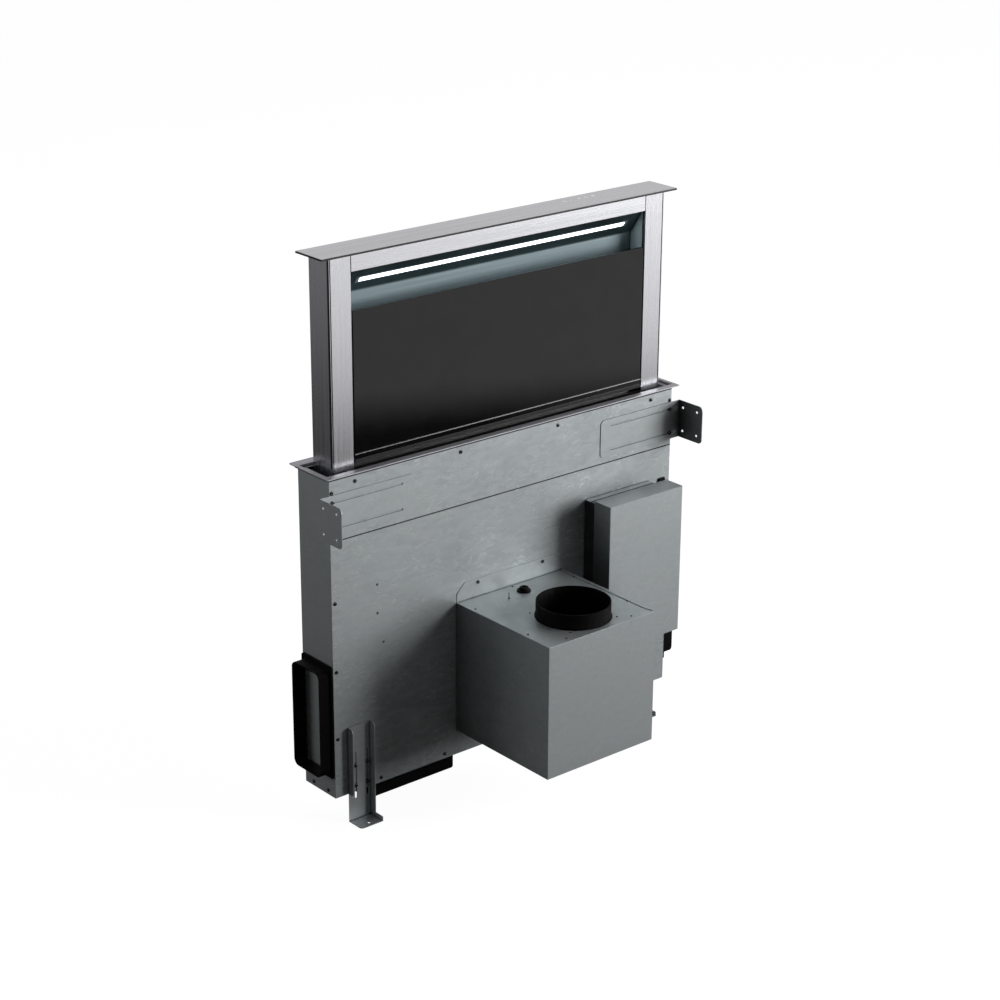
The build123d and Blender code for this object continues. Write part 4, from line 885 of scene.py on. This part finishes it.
# ---------------------------------------------------------------- the dressed vent
@dataclass
class Assembly:
    """A sub-assembly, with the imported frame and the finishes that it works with."""

    frame: dict[str, Any]
    rack: FinishRack

    def body_of(self, node: str) -> str:
        """Names the body that a CAD node belongs to."""
        return self.frame["nodes"][node]["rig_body"]

    def dress(self, finish: str, *nodes: str, soft: float = 0.0) -> None:
        """Gives CAD nodes a finish, and soft edges where asked.

        Args:
            finish: the finish's name.
            nodes: the nodes' names.
            soft: the width of the rounded edges, or 0 for none.
        """
        for name in nodes:
            node = self.frame["nodes"][name]
            if not node.material_slots:
                node.data.materials.append(None)
            for slot in node.material_slots:
                slot.material = self.rack.get(finish)
            if soft:
                self._soften(node, soft)
        LOG.info("%s: %s", finish, ", ".join(nodes))

    @staticmethod
    def _soften(item: Thing, width: float, weld_reach: float = 0.005 * MM,
                sharp_above: float = 50.0) -> None:
        """Rounds an object's sharp edges without changing its mesh.

        Args:
            item: the object.
            width: the width of the rounded edges.
            weld_reach: how near doubled corners are joined first.
            sharp_above: the turn, in degrees, from which an edge is rounded.
        """
        weld = item.modifiers.new("closed_seams", "WELD")
        weld.merge_threshold = weld_reach
        bevel = item.modifiers.new("soft_edges", "BEVEL")
        bevel.width = width
        bevel.segments = 2
        bevel.limit_method = "ANGLE"
        bevel.angle_limit = math.radians(sharp_above)
        bevel.harden_normals = True

    def add(self, piece: Thing, body: str, finish: str, slot: str) -> None:
        """Gives a new piece its finish and its body.

        Args:
            piece: the new object, in place.
            body: the CAD body that it rides on.
            finish: the finish's name.
            slot: the record's material slot; not used.
        """
        piece.data.materials.clear()
        piece.data.materials.append(self.rack.get(finish))
        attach(piece, body)
        LOG.info("piece %s rides on %s, %d faces", piece.name, body, len(piece.data.polygons))


# ---------------------------------------------------------------- fasteners
@dataclass(frozen=True)
class Head:
    """A small turned head; its (radius, height) profile counts in its own radius and height."""

    radius: float
    height: float
    finish: str
    recessed: bool
    profile: Outline


class HeadStyle(Enum):
    """Kinds of small heads, with their seat at height 0."""

    CROSS_PAN = Head(3.6 * MM, 2.3 * MM, "screw_steel", True, (
        (0.0, -1.3), (0.4, -1.3), (0.5, -1.1), (0.5, 0.0), (0.96, 0.0), (1.0, 0.06), (1.0, 0.45),
        (0.93, 0.74), (0.76, 0.93), (0.5, 1.0), (0.0, 1.0)))
    PLUG = Head(2.6 * MM, 0.9 * MM, "black_plastic", False, (
        (0.0, -0.6), (0.6, -0.6), (0.6, 0.0), (1.0, 0.0), (0.97, 0.35), (0.8, 0.75),
        (0.45, 0.97), (0.0, 1.0)))


@dataclass
class Fasteners(Assembly):
    """Screws and plugs, instanced on points that the CAD solids or the sheets give."""

    sides: int = 20
    lid_share: float = 0.55
    recess_half_wide: float = 0.12
    recess_half_long: float = 0.575
    recess_foot: float = 0.38
    recess_top: float = 1.5
    cad_head: float = 2.4 * MM
    near: float = 0.01 * MM
    weld_reach: float = 0.005 * MM
    seed: int = 7
    templates: dict[HeadStyle, Thing] = field(default_factory=dict)

    def template(self, style: HeadStyle) -> Thing:
        """Gives a head of radius 1 and height 1, with its seat at the origin.

        Args:
            style: the kind of head.

        Returns:
            The template object, built on first use.
        """
        if style not in self.templates:
            work = bmesh.new()
            lathe(work, style.value.profile, self.sides)
            head = from_bmesh("template_" + style.name.lower(), work)
            self.templates[style] = self._recessed(head) if style.value.recessed else head
        return self.templates[style]

    def _recessed(self, head: Thing) -> Thing:
        """Cuts the cross recess.

        Args:
            head: the plain head.

        Returns:
            The head with its recess.
        """
        cutters = []
        for x, y in ((self.recess_half_long, self.recess_half_wide),
                     (self.recess_half_wide, self.recess_half_long)):
            cutter = blocks("cutter", [((-x, -y, self.recess_foot), (x, y, self.recess_top))])
            cut = head.modifiers.new("recess", "BOOLEAN")
            cut.operation = "DIFFERENCE"
            cut.object = cutter
            cutters.append(cutter)
        bpy.context.view_layer.update()
        made = evaluated_copy(head.name, head)
        for cutter in cutters:
            bpy.data.objects.remove(cutter)
        return made

    def _tree(self) -> Tree:
        """Builds the node tree that sets a head on every point.

        Returns:
            The tree.
        """
        pan = HeadStyle.CROSS_PAN.value
        group = Group("heads_on_points", "GeometryNodeTree", Points="Geometry", Head="Object",
                      Head_Radius=pan.radius, Head_Height=pan.height, Seed=self.seed,
                      Finish="Material")
        given = group.given
        share, outward = (
            group.add("GeometryNodeInputNamedAttribute", {"Name": name},
                      data_type=kind).outputs["Attribute"]
            for name, kind in (("share", "FLOAT"), ("outward", "FLOAT_VECTOR")))
        aimed = group.add("FunctionNodeAlignRotationToVector", {"Vector": outward}, axis="Z")
        turn = group.add("FunctionNodeRandomValue", {"Max": 2 * math.pi, "Seed": given["Seed"]},
                         data_type="FLOAT")
        angle = next(s for s in turn.outputs if s.enabled and s.type == "VALUE")
        spin = group.add("FunctionNodeAxisAngleToRotation", {"Axis": (0.0, 0.0, 1.0),
                                                             "Angle": angle})
        turned = group.add("FunctionNodeRotateRotation", {
            "Rotation": aimed.outputs[0], "Rotate By": spin.outputs[0]}, rotation_space="LOCAL")
        radius, height = (group.math("MULTIPLY", given[name], share)
                          for name in ("Head Radius", "Head Height"))
        size = group.add("ShaderNodeCombineXYZ", {0: radius, 1: radius, 2: height})
        head = group.add("GeometryNodeObjectInfo", {"Object": given["Head"]})
        placed = group.add("GeometryNodeInstanceOnPoints", {
            "Points": given["Points"], "Instance": head.outputs["Geometry"],
            "Rotation": turned.outputs[0], "Scale": size.outputs[0]})
        real = group.add("GeometryNodeRealizeInstances", {"Geometry": placed.outputs[0]})
        painted = group.add("GeometryNodeSetMaterial", {"Geometry": real.outputs[0],
                                                        "Material": given["Finish"]})
        return group.close(Heads=painted.outputs[0])

    def set_heads(self, name: str, body: str, seats: list[Seat],
                  style: HeadStyle = HeadStyle.CROSS_PAN) -> Thing:
        """Sets heads on seats and adds them to a body as one plain mesh.

        Args:
            name: the new piece's name.
            body: the CAD body that it rides on.
            seats: (seat centre, outward direction) of each head.
            style: the kind of head.

        Returns:
            The piece.
        """
        head, template = style.value, self.template(style)
        mesh = bpy.data.meshes.new(name)
        mesh.from_pydata([tuple(point) for point, _ in seats], [], [])
        outward = mesh.attributes.new("outward", "FLOAT_VECTOR", "POINT")
        outward.data.foreach_set("vector", [c for _, way in seats for c in way])
        share = mesh.attributes.new("share", "FLOAT", "POINT")
        share.data.foreach_set("value", [self.lid_share if way[2] > 0 else 1.0
                                         for _, way in seats])
        points = new_object(name + "_points", mesh)
        modifier = points.modifiers.new("heads", "NODES")
        modifier.node_group = bpy.data.node_groups.get("heads_on_points") or self._tree()
        values = {"Head": template, "Head Radius": head.radius, "Head Height": head.height,
                  "Seed": self.seed, "Finish": self.rack.get(head.finish)}
        for item in modifier.node_group.interface.items_tree:
            if item.name in values and item.in_out == "INPUT":
                modifier[item.identifier] = values[item.name]
        points.update_tag()
        bpy.context.view_layer.update()
        piece = evaluated_copy(name, points)
        self.add(piece, body, head.finish, head.finish)
        return piece

    def _seats_of(self, node: str) -> list[Seat]:
        """Finds where the screws of a CAD node sit.

        Args:
            node: a node whose solids are screws, each with its head wider than its shank.

        Returns:
            (seat centre, outward direction) of each screw.
        """
        work = bmesh.new()
        work.from_mesh(self.frame["nodes"][node].data)
        bmesh.ops.remove_doubles(work, verts=work.verts, dist=self.weld_reach)
        left = dict.fromkeys(work.verts)
        seats = []
        while left:
            corners, queue = [], [next(iter(left))]
            while queue:
                vert = queue.pop()
                if vert in left:
                    del left[vert]
                    corners.append(vert.co.copy())
                    queue.extend(edge.other_vert(vert) for edge in vert.link_edges)
            seats.append(self._seat(corners))
        work.free()
        return sorted(seats, key=lambda seat: tuple(round(c, 6) for c in seat[0]))

    def _seat(self, corners: list[Vector]) -> Seat:
        """Finds one screw's seat: its head is the widest flat end.

        Args:
            corners: the screw's vertices.

        Returns:
            The seat's centre and the outward direction.
        """
        best = (0.0, Vector(), Vector())
        for axis in range(3):
            for sign in (-1, 1):
                way = Vector((0.0, 0.0, 0.0))
                way[axis] = sign
                top = max(corner.dot(way) for corner in corners)
                end = [c for c in corners if top - c.dot(way) < self.near]
                width = min(max(c[k] for c in end) - min(c[k] for c in end)
                            for k in range(3) if k != axis)
                if width > best[0]:
                    best = (width, sum(end, Vector()) / len(end), way)
        return best[1] - best[2] * self.cad_head, best[2]

    def build(self) -> None:
        """Replaces the CAD screws by heads with recesses."""
        for node in ("casing_screws", "clamp_screws"):
            piece = self.set_heads(node + "_heads", self.body_of(node), self._seats_of(node))
            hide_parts(node)

    def clear(self) -> None:
        """Removes the templates."""
        for made in self.templates.values():
            bpy.data.objects.remove(made)


# ---------------------------------------------------------------- riser
class Symbol(Enum):
    """Plain touch symbols, from left to right on the top plate."""

    POWER = "power"
    LESS = "less"
    MORE = "more"
    LAMP = "lamp"
    TIMER = "timer"


@dataclass
class TouchSymbols(Assembly):
    """Five plain symbols printed on the top plate."""

    places: tuple[float, ...] = mm(189, 204, 227, 245, 264)
    line_y: float = 13 * MM
    size: float = 4.2 * MM
    stroke: float = 1.3 * MM
    thick: float = 0.02 * MM
    rays: int = 8

    def _draw(self, work: Shape, symbol: Symbol, x: float, z: float) -> None:
        """Draws one symbol with arcs and bars.

        Args:
            work: the bmesh to add to.
            symbol: which symbol.
            x: its centre along the plate.
            z: the plate's upper face.
        """
        outer, half, ring = self.size, self.stroke / 2, (0.0, 360.0)
        inner, fine, reach = outer - self.stroke, half * 0.8, outer * 0.95
        turns = [360.0 / self.rays * i for i in range(self.rays)]
        rays = [(reach * math.cos(math.radians(turn)), reach * math.sin(math.radians(turn)),
                 outer * 0.22, fine, turn) for turn in turns]
        dash = (0.0, 0.0, outer, half, 0.0)
        arcs, bars = {
            Symbol.POWER: ([((inner, outer), (125.0, 415.0))],
                           [(0.0, outer * 0.75, half, outer * 0.6, 0.0)]),
            Symbol.LESS: ([], [dash]),
            Symbol.MORE: ([], [dash, (0.0, 0.0, half, outer, 0.0)]),
            Symbol.LAMP: ([((inner * 0.45, outer * 0.55), ring)], rays),
            Symbol.TIMER: ([((inner, outer), ring)],
                           [(0.0, outer * 0.25, fine, outer * 0.35, 0.0),
                            (outer * 0.2, 0.0, outer * 0.3, fine, 0.0)]),
        }[symbol]
        for radii, span in arcs:
            arc_band(work, (x, self.line_y, z), radii, span, self.thick)
        for dx, dy, half_x, half_y, turn in bars:
            middle_x, middle_y = x + dx, self.line_y + dy
            block(work, (middle_x - half_x, middle_y - half_y, z),
                  (middle_x + half_x, middle_y + half_y, z + self.thick), turn)

    def build(self) -> None:
        """Prints the symbols on the plate."""
        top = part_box("top_plate")[1].z
        work = bmesh.new()
        for symbol, x in zip(Symbol, self.places):
            self._draw(work, symbol, x, top)
        # the symbols glow with painted light
        self.add(from_bmesh("touch_symbols", work), "riser", "touch_print", "white_plastic")


@dataclass
class Riser(Assembly):
    """The lifting part above the worktop: plate, rail, stiles, sides and filters."""

    plate_edge: float = 0.3 * MM
    sheet_edge: float = 0.35 * MM
    band_thick: float = 0.12 * MM
    band_drop: float = 0.5 * MM
    strip_wide: float = 6.5 * MM
    strip_foot: float = 6.0 * MM

    def build(self) -> None:
        """Dresses the riser's nodes and adds its dark edges and its symbols."""
        self.dress("steel_along", "top_plate", soft=self.plate_edge)
        self.dress("steel_along", "header_rail", soft=self.sheet_edge)
        self.dress("dark_steel", "riser_front_lower", soft=self.sheet_edge)
        self.dress("steel_upright", "left_stile", "right_stile", "left_riser_side",
                   "right_riser_side", soft=self.sheet_edge)
        self.dress("zinc_fold", "riser_back", "riser_bottom_frame", soft=self.sheet_edge)
        self.dress("filter_metal", "grease_filter_left", "grease_filter_middle",
                   "grease_filter_right")
        self.dress("black_plastic", "touch_module")
        self._plate_band()
        self._side_dark_strips()
        TouchSymbols(self.frame, self.rack).build()

    def _plate_band(self) -> None:
        """Runs a thin dark band over the top plate's edge faces."""
        low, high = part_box("top_plate")
        thick, top = self.band_thick, high.z - self.band_drop
        rows = [((low.x, y - thick), (high.x, y + thick)) for y in (low.y, high.y)]
        rows += [((x - thick, low.y), (x + thick, high.y)) for x in (low.x, high.x)]
        band = blocks("plate_edge_band", [((*near, low.z), (*far, top)) for near, far in rows])
        self.add(band, "riser", "dark_steel", "brushed_steel")

    def _side_dark_strips(self) -> None:
        """Lays thin dark strips down the front edge of the riser's two sides."""
        under_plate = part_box("top_plate")[0].z
        dark_strips = []
        for node, way in (("left_riser_side", -1.0), ("right_riser_side", 1.0)):
            low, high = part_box(node)
            face = low.x if way < 0 else high.x
            near, far = sorted((face, face + way * self.band_thick))
            dark_strips.append(((near, low.y, self.strip_foot),
                          (far, low.y + self.strip_wide, under_plate)))
        self.add(blocks("side_folds", dark_strips), "riser", "dark_steel", "brushed_steel")


@dataclass
class IntakeLight(Assembly):
    """The lit recess under the header: canopy, lens and lamp channel."""

    cheek_outer: float = 365.4 * MM
    cheek_thick: float = 1.0 * MM
    cheek_outline: Outline = mm_pairs((-25.0, 289.6), (9.6, 289.6), (9.6, 325.0), (8.4, 328.3),
                                      (-24.6, 376.6))
    slope_top: Pair = mm(-25.5, 378.2)
    slope_way: Pair = (0.569, -0.822)
    slope_span: Pair = mm(1.5, 59.5)
    window: Pair = mm(24.0, 41.0)
    window_half: float = 337.5 * MM
    bezel_half: float = 364.0 * MM
    bezel_depths: Pair = mm(-0.1, 0.4)

    def _bezel(self) -> Thing:
        """Frames the lamp's window with thin dark strips on the canopy's slope; their dark teal
        colour is painted shade and lamp light.

        Returns:
            The frame.
        """
        (top_y, top_z), (way_y, way_z) = self.slope_top, self.slope_way
        (start, end), (sunk, proud) = self.slope_span, self.bezel_depths
        half, inner = self.bezel_half, self.window_half
        strips = []
        for near, far, left, right in ((start, self.window[0], -half, half),
                                       (self.window[1], end, -half, half),
                                       (*self.window, -half, -inner),
                                       (*self.window, inner, half)):
            ring = [(left, top_y + s * way_y + t * way_z, top_z + s * way_z - t * way_y)
                    for s, t in ((near, sunk), (far, sunk), (far, proud), (near, proud))]
            strips.append((ring, (right - left, 0.0, 0.0)))
        return prisms("lamp_bezel", strips)

    def build(self) -> None:
        """Dresses the recess, frames the lamp and closes the two ends."""
        # painted lamp light and shade: the canopy's dark teal tone
        self.dress("canopy_steel", "intake_canopy")
        self.dress("lamp_lens", "led_diffuser")
        self.dress("trim_metal", "led_housing")
        # painted shade and lamp light: the bezel's dark teal tone
        self.add(self._bezel(), "riser", "bezel_steel", "brushed_steel")
        cheeks = [([(side * self.cheek_outer, y, z) for y, z in self.cheek_outline],
                   (-side * self.cheek_thick, 0.0, 0.0)) for side in (-1, 1)]
        # painted lamp light: the cheeks' pale teal tone
        self.add(prisms("recess_cheeks", cheeks), "riser", "cheek_steel", "brushed_steel")


@dataclass
class GlassDoor(Assembly):
    """The tilting glass with its bright foot trim."""

    glass_edge: float = 0.3 * MM
    trim_high: float = 1.6 * MM
    trim_thick: float = 0.2 * MM

    def build(self) -> None:
        """Dresses the door and its pins and adds the bright line at its foot."""
        self.dress("black_glass", "glass_panel", soft=self.glass_edge)
        self.dress("black_plastic", "glass_carrier", soft=self.glass_edge)
        self.dress("turned_steel", "pivot_pins")
        low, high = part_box("glass_carrier")
        line = blocks("glass_foot_line", [((low.x, low.y - self.trim_thick,
                                            high.z - self.trim_high),
                                           (high.x, low.y + self.trim_thick, high.z))])
        self.add(line, self.body_of("glass_carrier"), "trim_metal", "brushed_steel")


# ---------------------------------------------------------------- casing
@dataclass
class Casing(Assembly):
    """Galvanised box below the worktop, its flange and its small plugs and screws."""

    fasteners: Fasteners
    sheet_edge: float = 0.35 * MM
    plug_places: Outline = mm_pairs((-330, -241), (-330, -300), (-316.5, -364))
    side_screw_y: Pair = mm(-26, 22)
    side_screw_rise: float = 10 * MM
    back_rows: tuple[float, ...] = mm(-18.5, -653.5)
    back_row_x: tuple[float, ...] = mm(-280, -140, 0.0, 140, 280)
    back_side_in: float = 8 * MM
    back_side_z: tuple[float, ...] = mm(-60, -250, -440, -620)
    seam_shadow_high: float = 2.4 * MM
    shadow_line_thick: float = 0.15 * MM
    flange_shadow_high: float = 3.0 * MM

    def build(self) -> None:
        """Dresses the sheets and adds the painted shadow lines, plugs and screws."""
        self.dress("flange_steel", "worktop_flange", soft=self.sheet_edge)
        self.dress("foam_seal", "flange_seal")
        self.dress("zinc_sheet", "casing_front_upper", "casing_front_lower", "casing_back",
                   soft=self.sheet_edge)
        self.dress("zinc_fold", "casing_left_side", "casing_right_side", "casing_bottom",
                   soft=self.sheet_edge)
        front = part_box("casing_front_lower")[0].y
        self._shadow_lines(front)
        seats = [((x, front, z), (0, -1, 0)) for x, z in self.plug_places]
        self.fasteners.set_heads("casing_plugs", "casing", seats, HeadStyle.PLUG)
        self._side_screws()
        self._back_screws()

    def _shadow_lines(self, front: float) -> None:
        """Lays dark strips of painted shadow along the seam of the front and under the flange.

        Args:
            front: the front plane of the casing.
        """
        low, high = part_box("casing_front_upper")
        seam = (low.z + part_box("casing_front_lower")[1].z) / 2
        # painted shadow: black strips where the lapped seam and the flange's overhang cast shade
        shadow_lines = [((low.x, front - self.shadow_line_thick, bottom), (high.x, front + self.shadow_line_thick, top))
                 for bottom, top in ((seam - self.seam_shadow_high / 2, seam + self.seam_shadow_high / 2),
                                     (high.z - self.flange_shadow_high, high.z))]
        self.add(blocks("front_beads", shadow_lines), "casing", "foam_seal", "foam_seal")

    def _side_screws(self) -> None:
        """Sets a screw low on each side of the casing, at the front and at the back."""
        low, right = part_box("casing_left_side")[0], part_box("casing_right_side")[1].x
        height = low.z + self.side_screw_rise
        seats = [((x, y, height), (way, 0, 0)) for y in self.side_screw_y
                 for x, way in ((low.x, -1), (right, 1))]
        self.fasteners.set_heads("side_screw_heads", "casing", seats)

    def _back_screws(self) -> None:
        """Sets rows of screws along the edges of the back sheet."""
        low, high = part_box("casing_back")
        places = [(x, z) for z in self.back_rows for x in self.back_row_x]
        places += [(x, z) for x in (low.x + self.back_side_in, high.x - self.back_side_in)
                   for z in self.back_side_z]
        seats = [((x, high.y, z), (0, 1, 0)) for x, z in places]
        self.fasteners.set_heads("back_screw_heads", "casing", seats)


@dataclass
class DuctCollars(Assembly):
    """Flat-duct collars and the sheets that close them."""

    edge: float = 0.5 * MM

    def build(self) -> None:
        """Dresses the collars and plates."""
        self.dress("duct_plastic", "left_duct_collar", "right_duct_collar",
                   "bottom_duct_collar", soft=self.edge)
        self.dress("zinc_fold", "duct_blanking_plates")


# ---------------------------------------------------------------- blower
@dataclass
class BlowerBox(Assembly):
    """Box with the blower: back plate, folded shell, lid, outlet collar and gland."""

    fasteners: Fasteners
    sheet_edge: float = 0.35 * MM
    collar_edge: float = 0.4 * MM
    pin_place: Pair = mm(-41, -98)
    pin_sides: int = 10
    pin_profile: Outline = mm_pairs((0.0, 0.0), (2.6, 0.0), (2.6, 1.2), (0.9, 1.8), (0.9, 12.4),
                                    (0.5, 13.0), (0.0, 13.0))
    fold_outline: Outline = mm_pairs((133, -53), (133, -307), (138.6, -322), (140, -322),
                                     (140, -53))
    fold_thick: float = 1.0 * MM
    lid_screw: Pair = mm(3, -57)

    def build(self) -> None:
        """Dresses the box and adds the lid's pin, its folded edge and its rear screw."""
        # the shell takes the copy of the zinc with painted shade near the casing
        self.dress("zinc_box", "blower_box_shell", soft=self.sheet_edge)
        self.dress("zinc_fold", "blower_back_plate", "blower_box_top", soft=self.sheet_edge)
        self.dress("duct_plastic", "outlet_spigot", "cable_gland", soft=self.collar_edge)
        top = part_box("blower_box_top")[1].z
        work = bmesh.new()
        lathe(work, self.pin_profile, self.pin_sides)
        bmesh.ops.translate(work, verts=work.verts, vec=(*self.pin_place, top))
        self.add(from_bmesh("lid_pin", work), "casing", "screw_steel", "screw_steel")
        outline = [(x, y, top) for x, y in self.fold_outline]
        fold = prisms("lid_fold", [(outline, (0.0, 0.0, self.fold_thick))])
        self.add(fold, "casing", "zinc_fold", "zinc_sheet")
        seat = ((*self.lid_screw, top), (0, 0, 1))
        self.fasteners.set_heads("lid_screw_head", "casing", [seat])


@dataclass
class BlowerUnit(Assembly):
    """Scroll, wheel, motor and the two back-draught flaps."""

    def build(self) -> None:
        """Dresses the blower's nodes."""
        self.dress("black_plastic", "blower_scroll", "left_damper_flap", "right_damper_flap",
                   "impeller")
        self.dress("turned_steel", "flap_pin", "inlet_ring")
        self.dress("motor_metal", "blower_motor")


# ---------------------------------------------------------------- control box
@dataclass
class ControlBox(Assembly):
    """Black base, galvanised cover, board and transformer."""

    sheet_edge: float = 0.35 * MM
    lip_thick: float = 0.4 * MM
    lip_seam: float = 27.0 * MM
    plug_low: Point = mm(406, -53.5, -207)
    plug_high: Point = mm(423, -49.5, -197.5)

    def build(self) -> None:
        """Dresses the control box and adds the lip and the plug above its base."""
        # the cover takes the copy of the zinc with painted shade near the casing
        self.dress("zinc_box", "control_box_cover", soft=self.sheet_edge)
        self.dress("black_plastic", "control_box_base", soft=self.sheet_edge)
        low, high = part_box("control_box_base")
        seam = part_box("control_box_cover")[1].y + self.lip_seam
        lip = blocks("control_lip", [((low.x, seam, high.z),
                                      (high.x, high.y, high.z + self.lip_thick))])
        self.add(lip, "casing", "zinc_sheet", "zinc_sheet")
        plug = blocks("control_plug", [(self.plug_low, self.plug_high)])
        self.add(plug, "casing", "duct_plastic", "black_plastic")
        self.dress("board_green", "control_board")
        self.dress("motor_metal", "transformer")


# ---------------------------------------------------------------- mounts and lift
@dataclass
class Mounts(Assembly):
    """Slotted feet and side brackets."""

    sheet_edge: float = 0.15 * MM

    def build(self) -> None:
        """Dresses the feet and brackets."""
        self.dress("zinc_fold", "left_foot", "right_foot", "left_side_bracket",
                   soft=self.sheet_edge)
        # painted shade: the right bracket alone takes a darker copy, for the casing's shadow on it
        self.dress("zinc_bracket", "right_side_bracket", soft=self.sheet_edge)


@dataclass
class LiftDrive(Assembly):
    """Rails, racks, pinions, cross shaft and gear motor."""

    def build(self) -> None:
        """Dresses the lift."""
        self.dress("zinc_fold", "guide_rails")
        self.dress("machined_steel", "lift_racks", "lift_pinions")
        self.dress("turned_steel", "lift_shaft")
        self.dress("white_plastic", "guide_runners", "shaft_bearings")
        self.dress("motor_metal", "lift_motor")


# ---------------------------------------------------------------- studio
@dataclass(frozen=True)
class SoftLamp:
    """A square lamp aimed at the origin, with its side in metres and its power in watts."""

    name: str
    place: Point
    size: float
    power: float

    def hang(self) -> None:
        """Hangs the lamp in the scene."""
        data = bpy.data.lights.new(self.name, "AREA")
        data.size = self.size
        data.energy = self.power
        lamp = bpy.data.objects.new(self.name, data)
        lamp.location = self.place
        lamp.rotation_euler = (-Vector(self.place)).to_track_quat("-Z", "Y").to_euler()
        bpy.context.scene.collection.objects.link(lamp)


@dataclass
class Studio:
    """Pale floor, soft lamps and a bright surround that is dimmer on the left.

    A way is the direction along which a glow grows from the first to the second distance of
    its reach.
    """

    floor_z: float
    floor_half: float = 30.0
    floor_tone: float = 0.25
    shown_glow: float = 0.95
    near_glow: float = 0.04
    right_way: Point = (0.377, -0.926, 0.0)
    right_reach: Pair = (2.05, 2.5)
    right_glow: float = 0.8
    left_way: Point = (-0.6, 0.715, 0.0)
    left_reach: Pair = (2.2, 3.9)
    left_glow: float = 0.12
    bright_way: Point = (0.8, 0.6, 0.0)
    world_range: Pair = (0.15, 0.95)
    world_glow: Pair = (0.0, 0.85)
    mirrored_rise: Pair = (0.15, 0.5)
    mirrored_glow: Pair = (0.0, 0.4)
    lamps: tuple[SoftLamp, ...] = (SoftLamp("key", (6.0, -5.6, 1.6), 4.2, 490.0),
                                   SoftLamp("side", (-4.5, 2.6, 1.0), 2.5, 35.0))

    def _floor(self) -> None:
        """Lays the floor, white to the camera and shaded in the metal's reflections."""
        work = bmesh.new()
        bmesh.ops.create_grid(work, x_segments=1, y_segments=1, size=self.floor_half,
                              matrix=Matrix.Translation((0.0, 0.0, self.floor_z)))
        floor = from_bmesh("studio_floor", work)
        material = bpy.data.materials.new("studio_floor")
        bench = Bench.on(material)
        place = bench.add("ShaderNodeTexCoord").outputs["Object"]
        path = bench.add("ShaderNodeLightPath").outputs
        diffuse = bench.add("ShaderNodeBsdfDiffuse", {"Color": (self.floor_tone,) * 3})
        shown = bench.add("ShaderNodeEmission", {
            "Strength": bench.math("MULTIPLY", path["Is Camera Ray"], self.shown_glow)})
        lit = bench.add("ShaderNodeAddShader", {0: diffuse.outputs[0], 1: shown.outputs[0]})
        glow = self.near_glow
        for way, reach, strength in ((self.right_way, self.right_reach, self.right_glow),
                                     (self.left_way, self.left_reach, self.left_glow)):
            along = bench.vector("DOT_PRODUCT", place, way)
            glow = bench.math("ADD", bench.ramp(along, *reach, 0.0, strength), glow)
        mirrored = bench.add("ShaderNodeEmission", {"Strength": glow})
        mixed = bench.add("ShaderNodeMixShader", {0: path["Is Glossy Ray"], 1: lit.outputs[0],
                                                  2: mirrored.outputs[0]})
        bench.add("ShaderNodeOutputMaterial", {"Surface": mixed.outputs[0]})
        floor.data.materials.append(material)
        floor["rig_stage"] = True

    def _world(self) -> None:
        """Surrounds the scene: white to the camera, dimmer on the left for the rest."""
        world = bpy.data.worlds.new("studio")
        bpy.context.scene.world = world
        bench = Bench.on(world)
        way = bench.add("ShaderNodeTexCoord").outputs["Generated"]
        path = bench.add("ShaderNodeLightPath").outputs
        shade = bench.ramp(bench.vector("DOT_PRODUCT", way, self.bright_way), *self.world_range,
                           *self.world_glow)
        rise = bench.add("ShaderNodeSeparateXYZ", {"Vector": way}).outputs["Z"]
        mirrored = bench.math("MULTIPLY", path["Is Glossy Ray"],
                              bench.ramp(rise, *self.mirrored_rise, *self.mirrored_glow))
        strength = bench.math("MAXIMUM", bench.math("MAXIMUM", shade, mirrored),
                              path["Is Camera Ray"])
        sky = bench.add("ShaderNodeBackground", {"Strength": strength})
        bench.add("ShaderNodeOutputWorld", {"Surface": sky.outputs[0]})

    def build(self) -> None:
        """Sets up the whole studio."""
        self._floor()
        self._world()
        for lamp in self.lamps:
            lamp.hang()
        LOG.info("studio floor at %.3f m", self.floor_z)


@dataclass
class PhotoCamera:
    """The photograph's viewpoint, in degrees and metres; lens and sensor are in millimetres."""

    azimuth: float = -40.139
    elevation: float = 20.851
    roll: float = 0.335
    distance: float = 4.7107
    target: Point = (0.003844, -0.01542, -0.158661)
    lens: float = 85.18
    sensor: float = 36.0

    def build(self) -> None:
        """Adds the camera to the scene."""
        place = Matrix.Translation(self.target)
        for angle, axis in ((self.azimuth, "Z"), (90.0 - self.elevation, "X"), (self.roll, "Z")):
            place @= Matrix.Rotation(math.radians(angle), 4, axis)
        data = bpy.data.cameras.new("photo_camera")
        data.lens = self.lens
        data.sensor_width = self.sensor
        data.sensor_fit = "HORIZONTAL"
        camera = bpy.data.objects.new("photo_camera", data)
        camera.matrix_world = place @ Matrix.Translation((0.0, 0.0, self.distance))
        bpy.context.scene.collection.objects.link(camera)
        bpy.context.scene.camera = camera


def main() -> None:
    """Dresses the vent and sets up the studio."""
    logging.basicConfig(level=logging.INFO, format="%(message)s")
    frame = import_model()
    cad_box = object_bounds()
    bpy.context.scene.view_settings.view_transform = "Standard"
    rack = FinishRack()
    fasteners = Fasteners(frame, rack)
    fasteners.build()
    Riser(frame, rack).build()
    IntakeLight(frame, rack).build()
    GlassDoor(frame, rack).build()
    Casing(frame, rack, fasteners).build()
    DuctCollars(frame, rack).build()
    BlowerBox(frame, rack, fasteners).build()
    BlowerUnit(frame, rack).build()
    ControlBox(frame, rack).build()
    Mounts(frame, rack).build()
    LiftDrive(frame, rack).build()
    fasteners.clear()
    Studio(cad_box[0].z).build()
    PhotoCamera().build()


if __name__ == "__main__":
    main()
